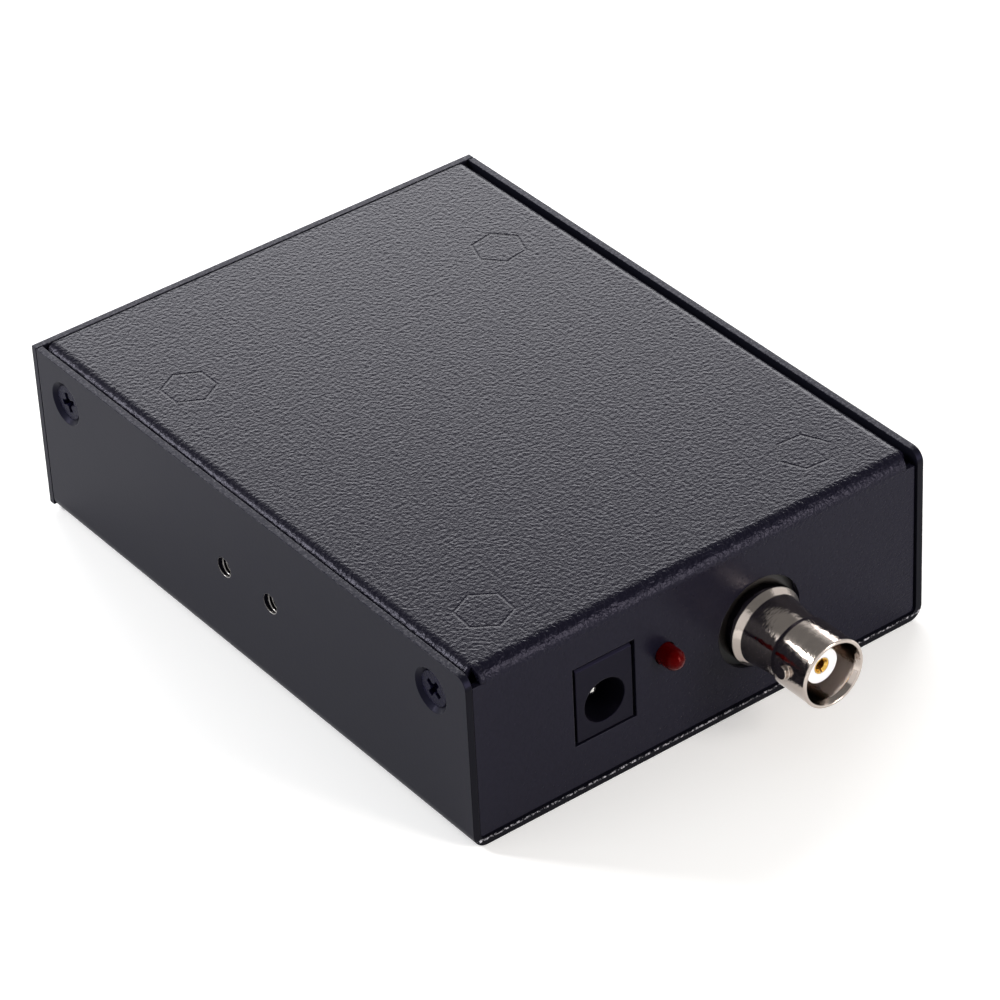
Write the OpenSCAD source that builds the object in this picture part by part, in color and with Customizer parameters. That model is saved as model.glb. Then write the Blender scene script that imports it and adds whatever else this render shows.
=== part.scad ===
// Video signal converter in a folded steel case, millimetres.
// The connector end faces -Y, the side with the two tapped holes faces -X, and +Z is up.
// The origin is the middle of the case's underside.

/* [Case] */
// Outside width of the case, across the connector panel
case_width = 75; // [72:0.5:95]
// Outside length of the case, from the tray's front edges to the rear wall
case_length = 98; // [94:0.5:130]
// Outside height of the case
case_height = 27; // [26:0.5:40]

/* [Tray] */
// Thickness of the tray's sheet
tray_sheet = 1; // [0.8:0.1:1.2]
// Inside radius of the tray's bends
tray_bend = 1.1; // [0.6:0.1:1.5]
// Gap between the ends of the side walls and the rear wall
seam_gap = 0.2; // [0.1:0.05:0.4]
// Width of the relief slots beside the rear bend
tray_relief = 0.6; // [0.4:0.1:1]
// Height of the open notch under the rear wall's two lower corners
rear_notch = 0.8; // [0.4:0.1:1.2]
// Radius of the side walls' top front corners
wall_corner = 1.8; // [1:0.1:3]

/* [Chassis] */
// Thickness of the chassis's sheet
chassis_sheet = 1; // [0.8:0.1:1.2]
// Inside radius of the bend between top plate and connector panel
panel_bend = 1; // [0.6:0.1:1.5]
// Inside radius of the bends between top plate and side flanges
flange_bend = 0.8; // [0.5:0.1:1.2]
// Gap between the side flanges and the tray's side walls
side_gap = 0.25; // [0.15:0.05:0.4]
// How far the connector panel stands back from the tray's front edges
panel_setback = 0.3; // [0.1:0.1:0.6]
// Gap between the top plate's rear edge and the rear wall
rear_gap = 0.3; // [0.1:0.1:0.6]
// Gap between the connector panel's lower edge and the tray's floor
floor_gap = 0.3; // [0.1:0.1:0.6]
// Width of the open relief at the two top front corners
corner_relief = 0.6; // [0.3:0.1:1]
// Sheet left under the screw cups at the flanges' lower edges
flange_lip = 0.6; // [0.4:0.1:2]

/* [Case screws] */
// Distance of the case screws from the two ends of the case
screw_inset = 7.5; // [6.5:0.5:12]
// Depth of the case screws below the top of the case
screw_drop = 5.8; // [5.5:0.1:7]
// Diameter of the countersunk dimple at the wall's outer face
dimple_mouth = 6.5; // [6.2:0.1:7]
// Diameter of the clearance hole at the dimple's bottom
dimple_hole = 3.4; // [3.2:0.1:3.6]
// Length of the dimple's plain edge behind its cone
dimple_edge = 0.25; // [0.15:0.05:0.4]
// How far the screw heads sit below the wall's outer face
head_sink = 0.5; // [0.4:0.05:0.7]
// Overall length of a case screw
case_screw_length = 5; // [4:0.5:6]
// Radial clearance between a screw's thread and its hole
thread_clearance = 0.05; // [0.03:0.01:0.08]
// Height of the drawn collar behind a tapped hole
collar_height = 0.8; // [0.5:0.1:1.2]
// Wall of the drawn collar round a tapped hole
collar_wall = 0.5; // [0.4:0.05:0.8]

/* [Side tapped holes] */
// Distance between the two tapped holes in the side wall
side_thread_spacing = 10.5; // [8:0.5:20]
// Place of the pair along the side, from the middle of the case
side_thread_shift = -0.75; // [-10:0.25:10]
// Gap between the flange's lower edge and the holes' collars
side_thread_gap = 0.2; // [0.1:0.1:2]

/* [Circuit board] */
// Thickness of the circuit board
board_thickness = 1.6; // [1.2:0.2:2]
// Free length of the standoffs between the top plate and the board
standoff_length = 4.8; // [4.5:0.1:5.5]
// Space between the board's edges and the case screws' tips
screw_tip_gap = 2; // [1:0.25:3]
// Sideways place of the board, from the middle of the case
board_shift = -0.65; // [-0.9:0.05:0.9]
// Gap between the connector panel's inner face and the board
board_front_gap = 1.2; // [0.8:0.1:2]
// Gap between the rear wall's inner face and the board
board_rear_gap = 1; // [0.6:0.1:2]
// Distance of the board's holes from its long edges
hole_side_inset = 3.75; // [3.5:0.05:5]
// Distance of the front holes from the board's front edge
hole_front_inset = 7.5; // [6:0.25:10]
// Distance of the rear holes from the board's rear edge
hole_rear_inset = 20.6; // [18:0.2:25]
// Diameter of the board's screw holes
board_hole = 3.2; // [3.2:0.1:3.4]

/* [Standoffs] */
// Width of a standoff's hexagonal head across its flats
hex_head = 6.5; // [6:0.1:7]
// Height of a hexagonal head, sunk flush in the top plate
hex_head_height = 0.7; // [0.5:0.05:0.75]
// Width of the fine groove round a hexagonal head
hex_groove = 0.15; // [0.1:0.05:0.25]
// Diameter of a standoff's barrel
standoff_barrel = 5.4; // [4.5:0.1:5.9]
// Depth of a standoff's threaded hole from its free end
standoff_bore_depth = 4.4; // [4.2:0.1:5]
// Turn of each hexagon about its own axis, in degrees
hex_turns = [25, -5, 30, 10];

/* [BNC connector] */
// Place of the BNC's axis between the board's holes, as a share of their distance
bnc_share = 0.197; // [0.15:0.001:0.25]
// Depth of the BNC's axis below the board's underside
bnc_drop = 6.9; // [6.9:0.1:7.5]
// Diameter of the BNC's hole in the panel
bnc_panel_hole = 13.6; // [13:0.1:14]
// How far the BNC's mouth stands out of the panel
bnc_reach = 14.7; // [13.5:0.1:16]
// Outer diameter of the bayonet collar
collar_diameter = 10; // [9.6:0.1:10.2]
// Length of the bayonet collar
collar_length = 6.3; // [5.8:0.1:6.6]
// Bore of the bayonet collar, which takes the plug's spring sleeve
collar_bore = 8.3; // [8.1:0.05:8.4]
// Depth of the collar's bore from the mouth
collar_bore_depth = 9.1; // [8:0.1:9.4]
// Diameter of the two bayonet lugs
lug_diameter = 1.95; // [1.9:0.05:2.05]
// Distance between the outer ends of the two lugs
lug_span = 11.3; // [10.9:0.1:11.5]
// Distance of the lugs' axis from the mouth
lug_setback = 3.9; // [3.5:0.1:5.3]
// Turn of the lugs about the connector's axis, in degrees
lug_turn = -8; // [-30:1:90]
// Diameter of the shoulder ring in front of the panel
ring_diameter = 11.5; // [11:0.1:12]
// How far the shoulder ring's edge stands out of the panel
ring_reach = 1.4; // [1:0.1:2]
// Length of the shoulder ring's chamfer
ring_chamfer = 0.9; // [0.6:0.1:1.2]
// Diameter of the neck where it leaves the shoulder ring
neck_root = 10.2; // [10:0.1:10.6]
// Diameter of the neck's narrow end, just behind the collar
neck_waist = 9.1; // [8.9:0.05:9.2]
// Diameter of the white insulator
insulator_diameter = 5.1; // [4.8:0.1:5.4]
// Depth of the insulator's face inside the mouth
insulator_depth = 2.4; // [2.2:0.1:2.6]
// Diameter of the gold centre contact
contact_diameter = 2.3; // [2:0.05:2.4]
// Bore of the centre contact
contact_bore = 1.4; // [1.3:0.05:1.5]
// Side length of the black housing behind the panel
bnc_housing_width = 14.5; // [14.5:0.1:15]
// Depth of the black housing, front to back
bnc_housing_depth = 11; // [10:0.5:13]

/* [Power jack] */
// Place of the power jack's axis between the board's holes, as a share of their distance
jack_share = -0.2886; // [-0.31:0.0001:-0.26]
// Depth of the jack's axis below the board's underside
jack_drop = 6.75; // [6.6:0.05:7]
// Width of the jack's face
jack_width = 9; // [8.8:0.1:9.4]
// Height of the jack's face, from the board down
jack_height = 11.5; // [11.2:0.1:12]
// Length of the whole jack body
jack_length = 14.2; // [13.5:0.1:15]
// Depth of the jack's face flange
jack_flange = 3.4; // [3:0.1:4]
// Diameter of the jack's barrel hole
jack_bore = 6.5; // [6.3:0.1:6.8]
// Depth of the jack's barrel hole
jack_bore_depth = 10; // [9.5:0.1:10.5]
// Diameter of the jack's centre pin
jack_pin = 2.1; // [1.9:0.05:2.5]
// Depth of the pin's tip behind the jack's face
jack_pin_depth = 2.35; // [1.5:0.05:3]
// Gap between the jack's sides and the panel's cut-out
jack_side_gap = 0.5; // [0.2:0.05:0.8]
// Height of the panel's cut-out for the jack
jack_cutout_height = 12.35; // [12.2:0.05:13]

/* [Indicator] */
// Place of the indicator's axis between the board's holes, as a share of their distance
led_share = -0.1; // [-0.13:0.005:-0.08]
// Depth of the indicator's axis below the board's underside
led_drop = 4.2; // [4:0.1:6]
// Diameter of the indicator's lens
led_diameter = 3; // [2.8:0.1:3.2]
// Overall length of the indicator's lens, with its flange
led_length = 5.3; // [5:0.1:6]
// Diameter of the lens flange
led_flange = 3.8; // [3.7:0.1:4]
// Thickness of the lens flange
led_flange_thickness = 1; // [0.8:0.1:1.2]
// Radial gap between the lens and the panel's hole
led_gap = 0.12; // [0.08:0.01:0.2]

/* [Video outlet] */
// Place of the video outlet, from the middle of the rear wall
outlet_x = 0; // [-12:0.5:12]
// Width of the outlet's opening
outlet_opening = 14; // [13.9:0.05:14.1]
// Height of the outlet's opening
outlet_height = 4.55; // [4.5:0.05:4.6]
// Thickness of the outlet's steel shell
outlet_sheet = 0.3; // [0.25:0.05:0.4]
// Depth of the outlet's shell, front to back
outlet_depth = 11; // [10:0.5:13]
// How far the shell's face sits behind the rear wall's outer face
outlet_sink = 0.2; // [0.1:0.1:0.5]
// Gap between the shell and the rear wall's cut-out
outlet_gap = 0.4; // [0.3:0.1:1]

/* [Hidden] */

// Smoothness of all the round forms
$fn = 64;
// Extra length by which a cut runs past its piece
overrun = 1;

// Levels and faces of the case
half_width = case_width / 2;
half_length = case_length / 2;
tray_radius = tray_bend + tray_sheet;
panel_radius = panel_bend + chassis_sheet;
flange_radius = flange_bend + chassis_sheet;
panel_y = -half_length + panel_setback;
panel_back_y = panel_y + chassis_sheet;
rear_inner_y = half_length - tray_sheet;
chassis_half = half_width - tray_sheet - side_gap;
plate_rear_y = rear_inner_y - rear_gap;
plate_inner_z = case_height - chassis_sheet;
head_seat_z = case_height - hex_head_height;

// Dimples and cups of the case screws, as depths below the wall's outer face
slope = sqrt(2);
thread = 3;
tapped_radius = thread / 2;
dimple_depth = (dimple_mouth - dimple_hole) / 2;
dimple_end = dimple_depth + dimple_edge;
cup_start = tray_sheet + side_gap;
cup_back = dimple_end + chassis_sheet;
cup_back_radius = cup_back_at(cup_start + chassis_sheet);
flange_depth = screw_drop + cup_back_radius + flange_lip;
screw_z = case_height - screw_drop;
collar_radius = tapped_radius + collar_wall;
side_thread_z = case_height - flange_depth - side_thread_gap - collar_radius;

// The screws
head_rim = 0.2;
case_head_radius = dimple_mouth / 2 - head_sink - head_rim;
thread_radius = tapped_radius - thread_clearance;
pan_head_radius = 2.8;
pan_head_height = 2;
pan_head_round = 0.6;
pan_screw_length = 5;
cross_width = 0.75;
cross_span = 2.9;
cross_depth = 0.9;
cross_turns = [35, -20];

// The circuit board
board_top_z = plate_inner_z - standoff_length;
board_z = board_top_z - board_thickness;
board_width = case_width - 2 * (head_sink + case_screw_length + screw_tip_gap);
board_front_y = panel_back_y + board_front_gap;
board_rear_y = rear_inner_y - board_rear_gap;
board_length = board_rear_y - board_front_y;
board_low = [board_shift - board_width / 2, board_front_y];
board_size = [board_width, board_length];
hole_xs = [board_low[0] + hole_side_inset, board_low[0] + board_width - hole_side_inset];
hole_ys = [board_front_y + hole_front_inset, board_rear_y - hole_rear_inset];
hole_span = hole_xs[1] - hole_xs[0];
standoff_places = [for (y = hole_ys, x = hole_xs) [x, y]];
lead_clearance = 0.12;
lead_tail = 1;

// The BNC connector, as distances out from the panel's face
bnc_x = board_shift + bnc_share * hole_span;
bnc_z = board_z - bnc_drop;
housing_gap = 0.2;
housing_front = -chassis_sheet - housing_gap;
housing_back = housing_front - bnc_housing_depth;
housing_wall = 2;
housing_chamfer = 2;
shell_back = housing_back + housing_wall;
shell_tube = 5.2;
shell_fit = 0.05;
dielectric = 3.5;
shoulder = 1;
mouth_chamfer = 0.15;
mouth_lead_in = 0.8;
mouth_flat = 0.3;
collar_back = bnc_reach - collar_length;
collar_edge = 0.15;
waist_fillet = 0.75;
ring_base = housing_front;
bore_floor = bnc_reach - collar_bore_depth;
insulator_face = bnc_reach - insulator_depth;
contact_length = 8.2;
contact_bore_length = 5.2;
contact_seat = insulator_face - contact_length;
contact_bore_floor = insulator_face - contact_bore_length;
contact_slot = 0.25;
contact_lead_in = 0.3;
tail_radius = 0.6;
tail_bend = 1.2;
tail_clear = 0.2;
tail_start = housing_back - tail_clear;
tail_y = panel_y - tail_start + tail_bend;
post_radius = 0.5;
post_x = 3.5;
post_foot = 3.2;
post_inset = 3;
post_ys = [panel_y - housing_front + post_inset, panel_y - shell_back - post_inset];

// The power jack
jack_x = board_shift + jack_share * hole_span;
jack_z = board_z - jack_drop;
jack_flush = 0.1;
jack_y = panel_y + jack_flush;
jack_chamfer = 0.35;
jack_rear_width = 8.4;
jack_top = jack_drop;
jack_foot = jack_height - jack_drop;
jack_cutout_rise = 0.5;
jack_cutout_width = jack_width + 2 * jack_side_gap;
jack_cutout_z = board_z + jack_cutout_rise;
pin_fit = 0.05;
rivet_radius = 0.8;
rivet_length = 0.8;
terminal_sheet = 0.5;
terminal_width = 2.6;
terminal_foot = 2;
spring_sheet = 0.3;
spring_width = 3;
spring_start = 4.2;
spring_end = 8.6;
spring_bite = 0.4;
spring_room = 0.25;
spring_level = jack_bore / 2 - spring_bite;
switch_width = 2.4;
switch_start = 9;
switch_foot = 1;

// The indicator
led_x = board_shift + led_share * hole_span;
led_z = board_z - led_drop;
led_back = panel_back_y + led_gap + led_flange_thickness;
led_tip = led_back - led_length;
led_lead = 0.5;
led_pitch = 2.54;
led_bend = 0.6;
led_run = 1.2;
led_rise_y = led_back + led_run + led_bend;

// The video outlet, on the board's underside
outlet_face_y = half_length - outlet_sink;
outlet_back_y = outlet_face_y - outlet_depth;
outlet_taper = 2.3;
outlet_straight = 2.4;
outlet_outer_height = outlet_height + 2 * outlet_sheet;
outlet_outer_width = outlet_opening + 2 * outlet_sheet;
outlet_leg = 1.8;
outlet_leg_x = (outlet_outer_width - outlet_sheet) / 2;
outlet_leg_setbacks = [2.2, 8.2];
outlet_block = 3.4;
tongue_width = 11.6;
tongue_thickness = 1.1;
tongue_level = 2.75;
tongue_sink = 0.9;
outlet_pitch = 1;
outlet_contact_width = 0.35;
outlet_contact_thickness = 0.12;
outlet_contact_setback = 0.7;
outlet_contact_start = tongue_sink + outlet_contact_setback;
outlet_tail_length = 1.1;
outlet_row_counts = [9, 10];

// Chips: sizes along X, Y and Z, and their leads
chip_lift = 0.1;
lead_sheet = 0.15;
lead_foot = 0.6;
processor_side = 14;
processor_height = 1.4;
processor_lead_count = 16;
processor_lead_margin = 1;
processor_pitch = (processor_side - 2 * processor_lead_margin) / (processor_lead_count - 1);
processor_lead_width = 0.35;
processor_reach = 1;
transmitter_size = [8, 8, 0.85];
equaliser_size = [4, 4, 0.85];
small_outline_size = [3.9, 4.9, 1.5];
small_outline_lead_count = 4;
small_outline_lead_margin = 0.545;
small_outline_run = small_outline_size[1] - 2 * small_outline_lead_margin;
small_outline_pitch = small_outline_run / (small_outline_lead_count - 1);
small_outline_lead_width = 0.42;
small_outline_reach = 1.05;
regulator_size = [6.5, 3.5, 1.6];
regulator_lead_count = 3;
regulator_lead_margin = 0.95;
regulator_pitch = (regulator_size[0] - 2 * regulator_lead_margin) / (regulator_lead_count - 1);
regulator_lead_width = 0.7;
regulator_tab_width = 3;
regulator_reach = 1.75;
inductor_size = [7.3, 7.3, 4];
inductor_corner = 1.2;
inductor_core = 5.6;
inductor_step = 0.4;
can_diameter = 6.3;
can_height = 7.2;
can_crimp = 0.35;
can_crimp_level = 1.6;
can_crimp_height = 0.8;
can_base = [6.6, 6.6, 1];
can_base_chamfer = 1.2;
diode_size = [4.3, 2.6, 2.1];
diode_lead_width = 1.4;
fuse_size = [4.6, 3.2, 1];
fuse_cap = 0.6;
crystal_length = 10.6;
crystal_width = 3.8;
crystal_base = 0.6;
crystal_can = 3.2;
crystal_rim = 0.35;
capacitor_size = [1, 0.5, 0.5];
resistor_size = [1.6, 0.8, 0.45];
end_cap = 0.25;
part_gap = 0.5;

// Places of the parts on the board, as shares of the board's width and length
processor_shares = [0.5, 0.46];
transmitter_shares = [0.52, 0.72];
equaliser_shares = [0.66, 0.24];
memory_shares = [0.83, 0.5];
buck_shares = [0.16, 0.32];
core_regulator_shares = [[0.14, 0.52], [0.14, 0.62]];
inductor_shares = [0.17, 0.42];
reservoir_shares = [[0.36, 0.2], [0.3, 0.3]];
diode_shares = [0.16, 0.23];
fuse_shares = [0.42, 0.29];
crystal_shares = [0.8, 0.4];
resistor_row_shares = [[0.62, 0.3], [0.3, 0.83], [0.74, 0.83]];
resistor_row_counts = [4, 5, 5];
resistor_row_pitch = 1.6;
coupling_shares = [[0.6, 0.16], [0.72, 0.2]];

// One quarter of a bend's cross-section, in the quadrant of positive x and y
module bend_section(inner, sheet) {
  intersection() {
    difference() {
      circle(r = inner + sheet);
      circle(r = inner);
    }
    square(inner + sheet);
  }
}

// Cross-section from a flat sheet into a wall: the flat ends at x = 0 and the wall rises to height
module fold_section(inner, sheet, height) {
  translate([0, inner + sheet]) {
    mirror([0, 1]) bend_section(inner, sheet);
    translate([inner, 0]) square([sheet, height - inner - sheet]);
  }
}

// Turns a section drawn in X and Y so that it stands in X and Z and runs along +Y
module run_along_y(length) {
  rotate([90, 0, 0]) translate([0, 0, -length]) linear_extrude(length) children();
}

// Turns a section drawn in X and Y so that it stands in Y and Z and runs along X, centred
module run_along_x(length) {
  rotate([90, 0, 90]) linear_extrude(length, center = true) children();
}

// Puts a piece drawn along +Z, whose Z is a distance out of the panel, on a connector's axis
module on_panel(x, z, y = panel_y) {
  translate([x, y, z]) rotate([90, 0, 0]) children();
}

// Puts a piece drawn along +Z, whose Z is a depth below the left wall's face, on both walls
module on_side_walls(y, z) {
  for (side = [0, 1])
    mirror([side, 0, 0]) translate([-half_width, y, z]) rotate([0, 90, 0]) children();
}

// Puts a piece at each of the four case screws
module at_case_screws() {
  for (end = [-1, 1]) on_side_walls(end * (half_length - screw_inset), screw_z) children();
}

// Puts a piece at each of the two tapped holes in the left wall
module at_side_threads() {
  for (end = [-1, 1])
    translate([-half_width, side_thread_shift + end * side_thread_spacing / 2, side_thread_z])
      rotate([0, 90, 0]) children();
}

// Puts a part on the board's underside at a place given in shares, its Z pointing away from the board
module under_board(shares, turn = 0) {
  translate([board_low[0] + shares[0] * board_size[0], board_low[1] + shares[1] * board_size[1], board_z])
    rotate([180, 0, turn]) children();
}

// Flat block centred in X and Y, standing on Z = 0
module block(size) {
  translate([-size[0] / 2, -size[1] / 2, 0]) cube(size);
}

// Radii of a pressed dimple's back and of a cup's front and back, at a depth below the wall's face
function dimple_back_at(depth) = dimple_mouth / 2 - depth + slope * tray_sheet;
function cup_front_at(depth) = dimple_back_at(depth) + side_gap;
function cup_back_at(depth) = cup_front_at(depth) + slope * chassis_sheet;

// Metal of one pressed dimple: a cone of sheet behind the wall, drawn inwards
module dimple_metal() {
  start = tray_sheet / 2;
  translate([0, 0, start])
    cylinder(r1 = dimple_back_at(start), r2 = dimple_back_at(dimple_end), h = dimple_end - start);
}

// Air inside one pressed dimple
module dimple_air() {
  rotate_extrude() polygon([
    [0, -overrun],
    [dimple_mouth / 2 + overrun, -overrun],
    [dimple_hole / 2, dimple_depth],
    [dimple_hole / 2, dimple_end + overrun],
    [0, dimple_end + overrun]
  ]);
}

// Metal of one flange cup, which nests behind a dimple, with its drawn collar
module cup_metal() {
  middle = cup_start + chassis_sheet / 2;
  rotate_extrude() polygon([
    [0, middle],
    [cup_back_at(middle), middle],
    [cup_back_at(cup_back), cup_back],
    [collar_radius, cup_back],
    [collar_radius, cup_back + collar_height],
    [0, cup_back + collar_height]
  ]);
}

// Air in front of one flange cup, and its tapped hole
module cup_air() {
  rotate_extrude() polygon([
    [0, cup_start - overrun],
    [cup_front_at(cup_start - overrun), cup_start - overrun],
    [cup_front_at(dimple_end), dimple_end],
    [tapped_radius, dimple_end],
    [tapped_radius, cup_back + collar_height + overrun],
    [0, cup_back + collar_height + overrun]
  ]);
}

// Rounds the top front corner of both side walls
module wall_corner_cut() {
  translate([0, -half_length + wall_corner, case_height - wall_corner]) rotate([90, 0, 90])
    linear_extrude(case_width + overrun, center = true) difference() {
      translate([-wall_corner - overrun, 0]) square(wall_corner + overrun);
      circle(r = wall_corner);
    }
}

// Outline of the outlet's shell in X and Z, wider on the side away from the board
module outlet_outline(inset) {
  half = outlet_outer_width / 2 - inset;
  top = outlet_outer_height - inset;
  polygon([
    [-half, top], [half, top], [half, outlet_outer_height - outlet_straight],
    [half - outlet_taper, inset], [-half + outlet_taper, inset],
    [-half, outlet_outer_height - outlet_straight]
  ]);
}

// Puts a section drawn in the outlet outline's X and Z on the board's underside, running forward
module on_outlet(setback, length) {
  translate([outlet_x, outlet_face_y - setback - length, board_z])
    mirror([0, 0, 1]) run_along_y(length) children();
}

module lower_tray() {
  side_end = rear_inner_y - seam_gap;
  floor_end = half_length - tray_radius;
  flat_half = half_width - tray_radius;
  color("#35333f") difference() {
    union() {
      translate([0, -half_length, 0]) run_along_y(floor_end + half_length)
        translate([-flat_half, 0]) square([2 * flat_half, tray_sheet]);
      for (side = [0, 1]) mirror([side, 0, 0])
        translate([flat_half, -half_length, 0]) run_along_y(side_end + half_length)
          fold_section(tray_bend, tray_sheet, case_height);
      translate([0, floor_end, 0]) run_along_x(2 * (flat_half - tray_relief))
        fold_section(tray_bend, tray_sheet, case_height);
      translate([0, 0, tray_radius]) translate([-half_width, rear_inner_y, 0])
        cube([case_width, tray_sheet, case_height - tray_radius]);
      for (side = [0, 1]) mirror([side, 0, 0])
        translate([flat_half, rear_inner_y, rear_notch]) cube([tray_radius, tray_sheet, tray_radius]);
      at_case_screws() dimple_metal();
      at_side_threads() translate([0, 0, tray_sheet / 2])
        cylinder(r = collar_radius, h = tray_sheet / 2 + collar_height);
    }
    for (side = [0, 1]) mirror([side, 0, 0])
      translate([flat_half - tray_relief, floor_end - tray_relief / 2, -overrun])
        cube([tray_relief, tray_radius + tray_relief / 2 + overrun, tray_radius + overrun]);
    wall_corner_cut();
    at_case_screws() dimple_air();
    at_side_threads() translate([0, 0, -overrun])
      cylinder(r = tapped_radius, h = tray_sheet + collar_height + 2 * overrun);
    translate([0, overrun, 0]) on_outlet(-outlet_sink, tray_sheet + 2 * overrun) outlet_window();
  }
}

// Plain rectangular window in the rear wall, round the outlet's shell
module outlet_window() {
  translate([-outlet_outer_width / 2 - outlet_gap, -outlet_gap])
    square([outlet_outer_width + 2 * outlet_gap, outlet_outer_height + 2 * outlet_gap]);
}

module top_chassis() {
  flat_half = chassis_half - flange_radius;
  flange_front = panel_y + panel_radius + corner_relief;
  color("#4d4d52") difference() {
    union() {
      translate([-flat_half, panel_y + panel_radius, plate_inner_z])
        cube([2 * flat_half, plate_rear_y - panel_y - panel_radius, chassis_sheet]);
      translate([0, panel_y + panel_radius, case_height]) mirror([0, 0, 1]) mirror([0, 1, 0])
        translate([0, 0, panel_radius]) run_along_x(2 * flat_half - corner_relief)
          mirror([0, 1]) bend_section(panel_bend, chassis_sheet);
      translate([-chassis_half, panel_y, tray_sheet + floor_gap])
        cube([2 * chassis_half, chassis_sheet, case_height - panel_radius - tray_sheet - floor_gap]);
      for (side = [0, 1]) mirror([side, 0, 0])
        translate([flat_half, flange_front, case_height]) mirror([0, 0, 1])
          run_along_y(plate_rear_y - flange_front) fold_section(flange_bend, chassis_sheet, flange_depth);
      at_case_screws() cup_metal();
    }
    at_case_screws() cup_air();
    for (i = [0 : 3]) translate([standoff_places[i][0], standoff_places[i][1], 0]) {
      translate([0, 0, head_seat_z]) rotate(hex_turns[i])
        hexagon(hex_head + 2 * hex_groove, hex_head_height + overrun);
      translate([0, 0, plate_inner_z - overrun]) cylinder(d = standoff_barrel, h = chassis_sheet + overrun);
    }
    on_panel(bnc_x, bnc_z, panel_y + chassis_sheet + overrun)
      cylinder(d = bnc_panel_hole, h = chassis_sheet + 2 * overrun);
    on_panel(led_x, led_z, panel_y + chassis_sheet + overrun)
      cylinder(r = led_diameter / 2 + led_gap, h = chassis_sheet + 2 * overrun);
    translate([jack_x - jack_cutout_width / 2, panel_y - overrun, jack_cutout_z - jack_cutout_height])
      cube([jack_cutout_width, chassis_sheet + 2 * overrun, jack_cutout_height]);
  }
}

// Hexagonal prism by its width across the flats
module hexagon(flats, height) {
  cylinder(d = flats / cos(30), h = height, $fn = 6);
}

module board_standoffs() {
  color("#4d4d52") for (i = [0 : 3])
    translate([standoff_places[i][0], standoff_places[i][1], board_top_z]) difference() {
      union() {
        cylinder(d = standoff_barrel, h = case_height - board_top_z);
        translate([0, 0, head_seat_z - board_top_z]) rotate(hex_turns[i]) hexagon(hex_head, hex_head_height);
      }
      translate([0, 0, -overrun]) cylinder(r = tapped_radius, h = standoff_bore_depth + overrun);
    }
}

// Cross recess of a screw head, opening at Z = 0 and going down along +Z
module cross_recess() {
  for (turn = [0, 90]) rotate(turn) translate([-cross_span / 2, -cross_width / 2, -overrun])
    cube([cross_span, cross_width, cross_depth + overrun]);
  cylinder(r1 = cross_width, r2 = 0, h = cross_depth + cross_width);
}

module case_screws() {
  color("#2c2b31") for (end = [0, 1]) on_side_walls((2 * end - 1) * (half_length - screw_inset), screw_z)
    translate([0, 0, head_sink]) difference() {
      rotate_extrude() polygon([
        [0, 0],
        [case_head_radius, 0],
        [case_head_radius, head_rim],
        [thread_radius, head_rim + case_head_radius - thread_radius],
        [thread_radius, case_screw_length],
        [0, case_screw_length]
      ]);
      rotate(cross_turns[end]) cross_recess();
    }
}

// Board holes for a lead or tab: a rectangle by its centre and size, with clearance all round
module board_slot(x, y, size) {
  translate([x, y, board_z - overrun]) block([
    size[0] + 2 * lead_clearance, size[1] + 2 * lead_clearance, board_thickness + 2 * overrun
  ]);
}

// Board hole for a round pin
module board_pin_hole(x, y, radius) {
  translate([x, y, board_z - overrun])
    cylinder(r = radius + lead_clearance, h = board_thickness + 2 * overrun);
}

module circuit_board() {
  color("#1f6b3a") difference() {
    translate([board_low[0], board_low[1], board_z]) cube([board_width, board_length, board_thickness]);
    for (place = standoff_places) translate([place[0], place[1], board_z - overrun])
      cylinder(d = board_hole, h = board_thickness + 2 * overrun);
    board_pin_hole(bnc_x, tail_y, tail_radius);
    for (side = [-1, 1], y = post_ys) board_pin_hole(bnc_x + side * post_x, y, post_radius);
    board_slot(jack_x, jack_y + jack_length + terminal_sheet / 2, [terminal_width, terminal_sheet]);
    board_slot(jack_x, jack_y + spring_end - spring_sheet / 2, [spring_width, spring_sheet]);
    board_slot(jack_x + (jack_rear_width + spring_sheet) / 2, jack_y + switch_start + switch_width / 2,
      [spring_sheet, switch_width]);
    for (side = [-1, 1])
      board_slot(led_x + side * led_pitch / 2, led_rise_y + led_lead / 2, [led_lead, led_lead]);
    for (side = [-1, 1], setback = outlet_leg_setbacks)
      board_slot(outlet_x + side * outlet_leg_x, outlet_face_y - setback - outlet_leg / 2,
        [outlet_sheet, outlet_leg]);
  }
}

module board_screws() {
  color("silver") for (place = standoff_places)
    translate([place[0], place[1], board_z]) rotate([180, 0, 0]) difference() {
      union() {
        cylinder(r = pan_head_radius, h = pan_head_height - pan_head_round);
        translate([0, 0, pan_head_height - pan_head_round])
          cylinder(r1 = pan_head_radius, r2 = pan_head_radius - pan_head_round, h = pan_head_round);
        translate([0, 0, -pan_screw_length])
          cylinder(r = thread_radius, h = pan_screw_length + pan_head_round);
      }
      translate([0, 0, pan_head_height]) rotate([180, 0, cross_turns[0]]) cross_recess();
    }
}

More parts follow.
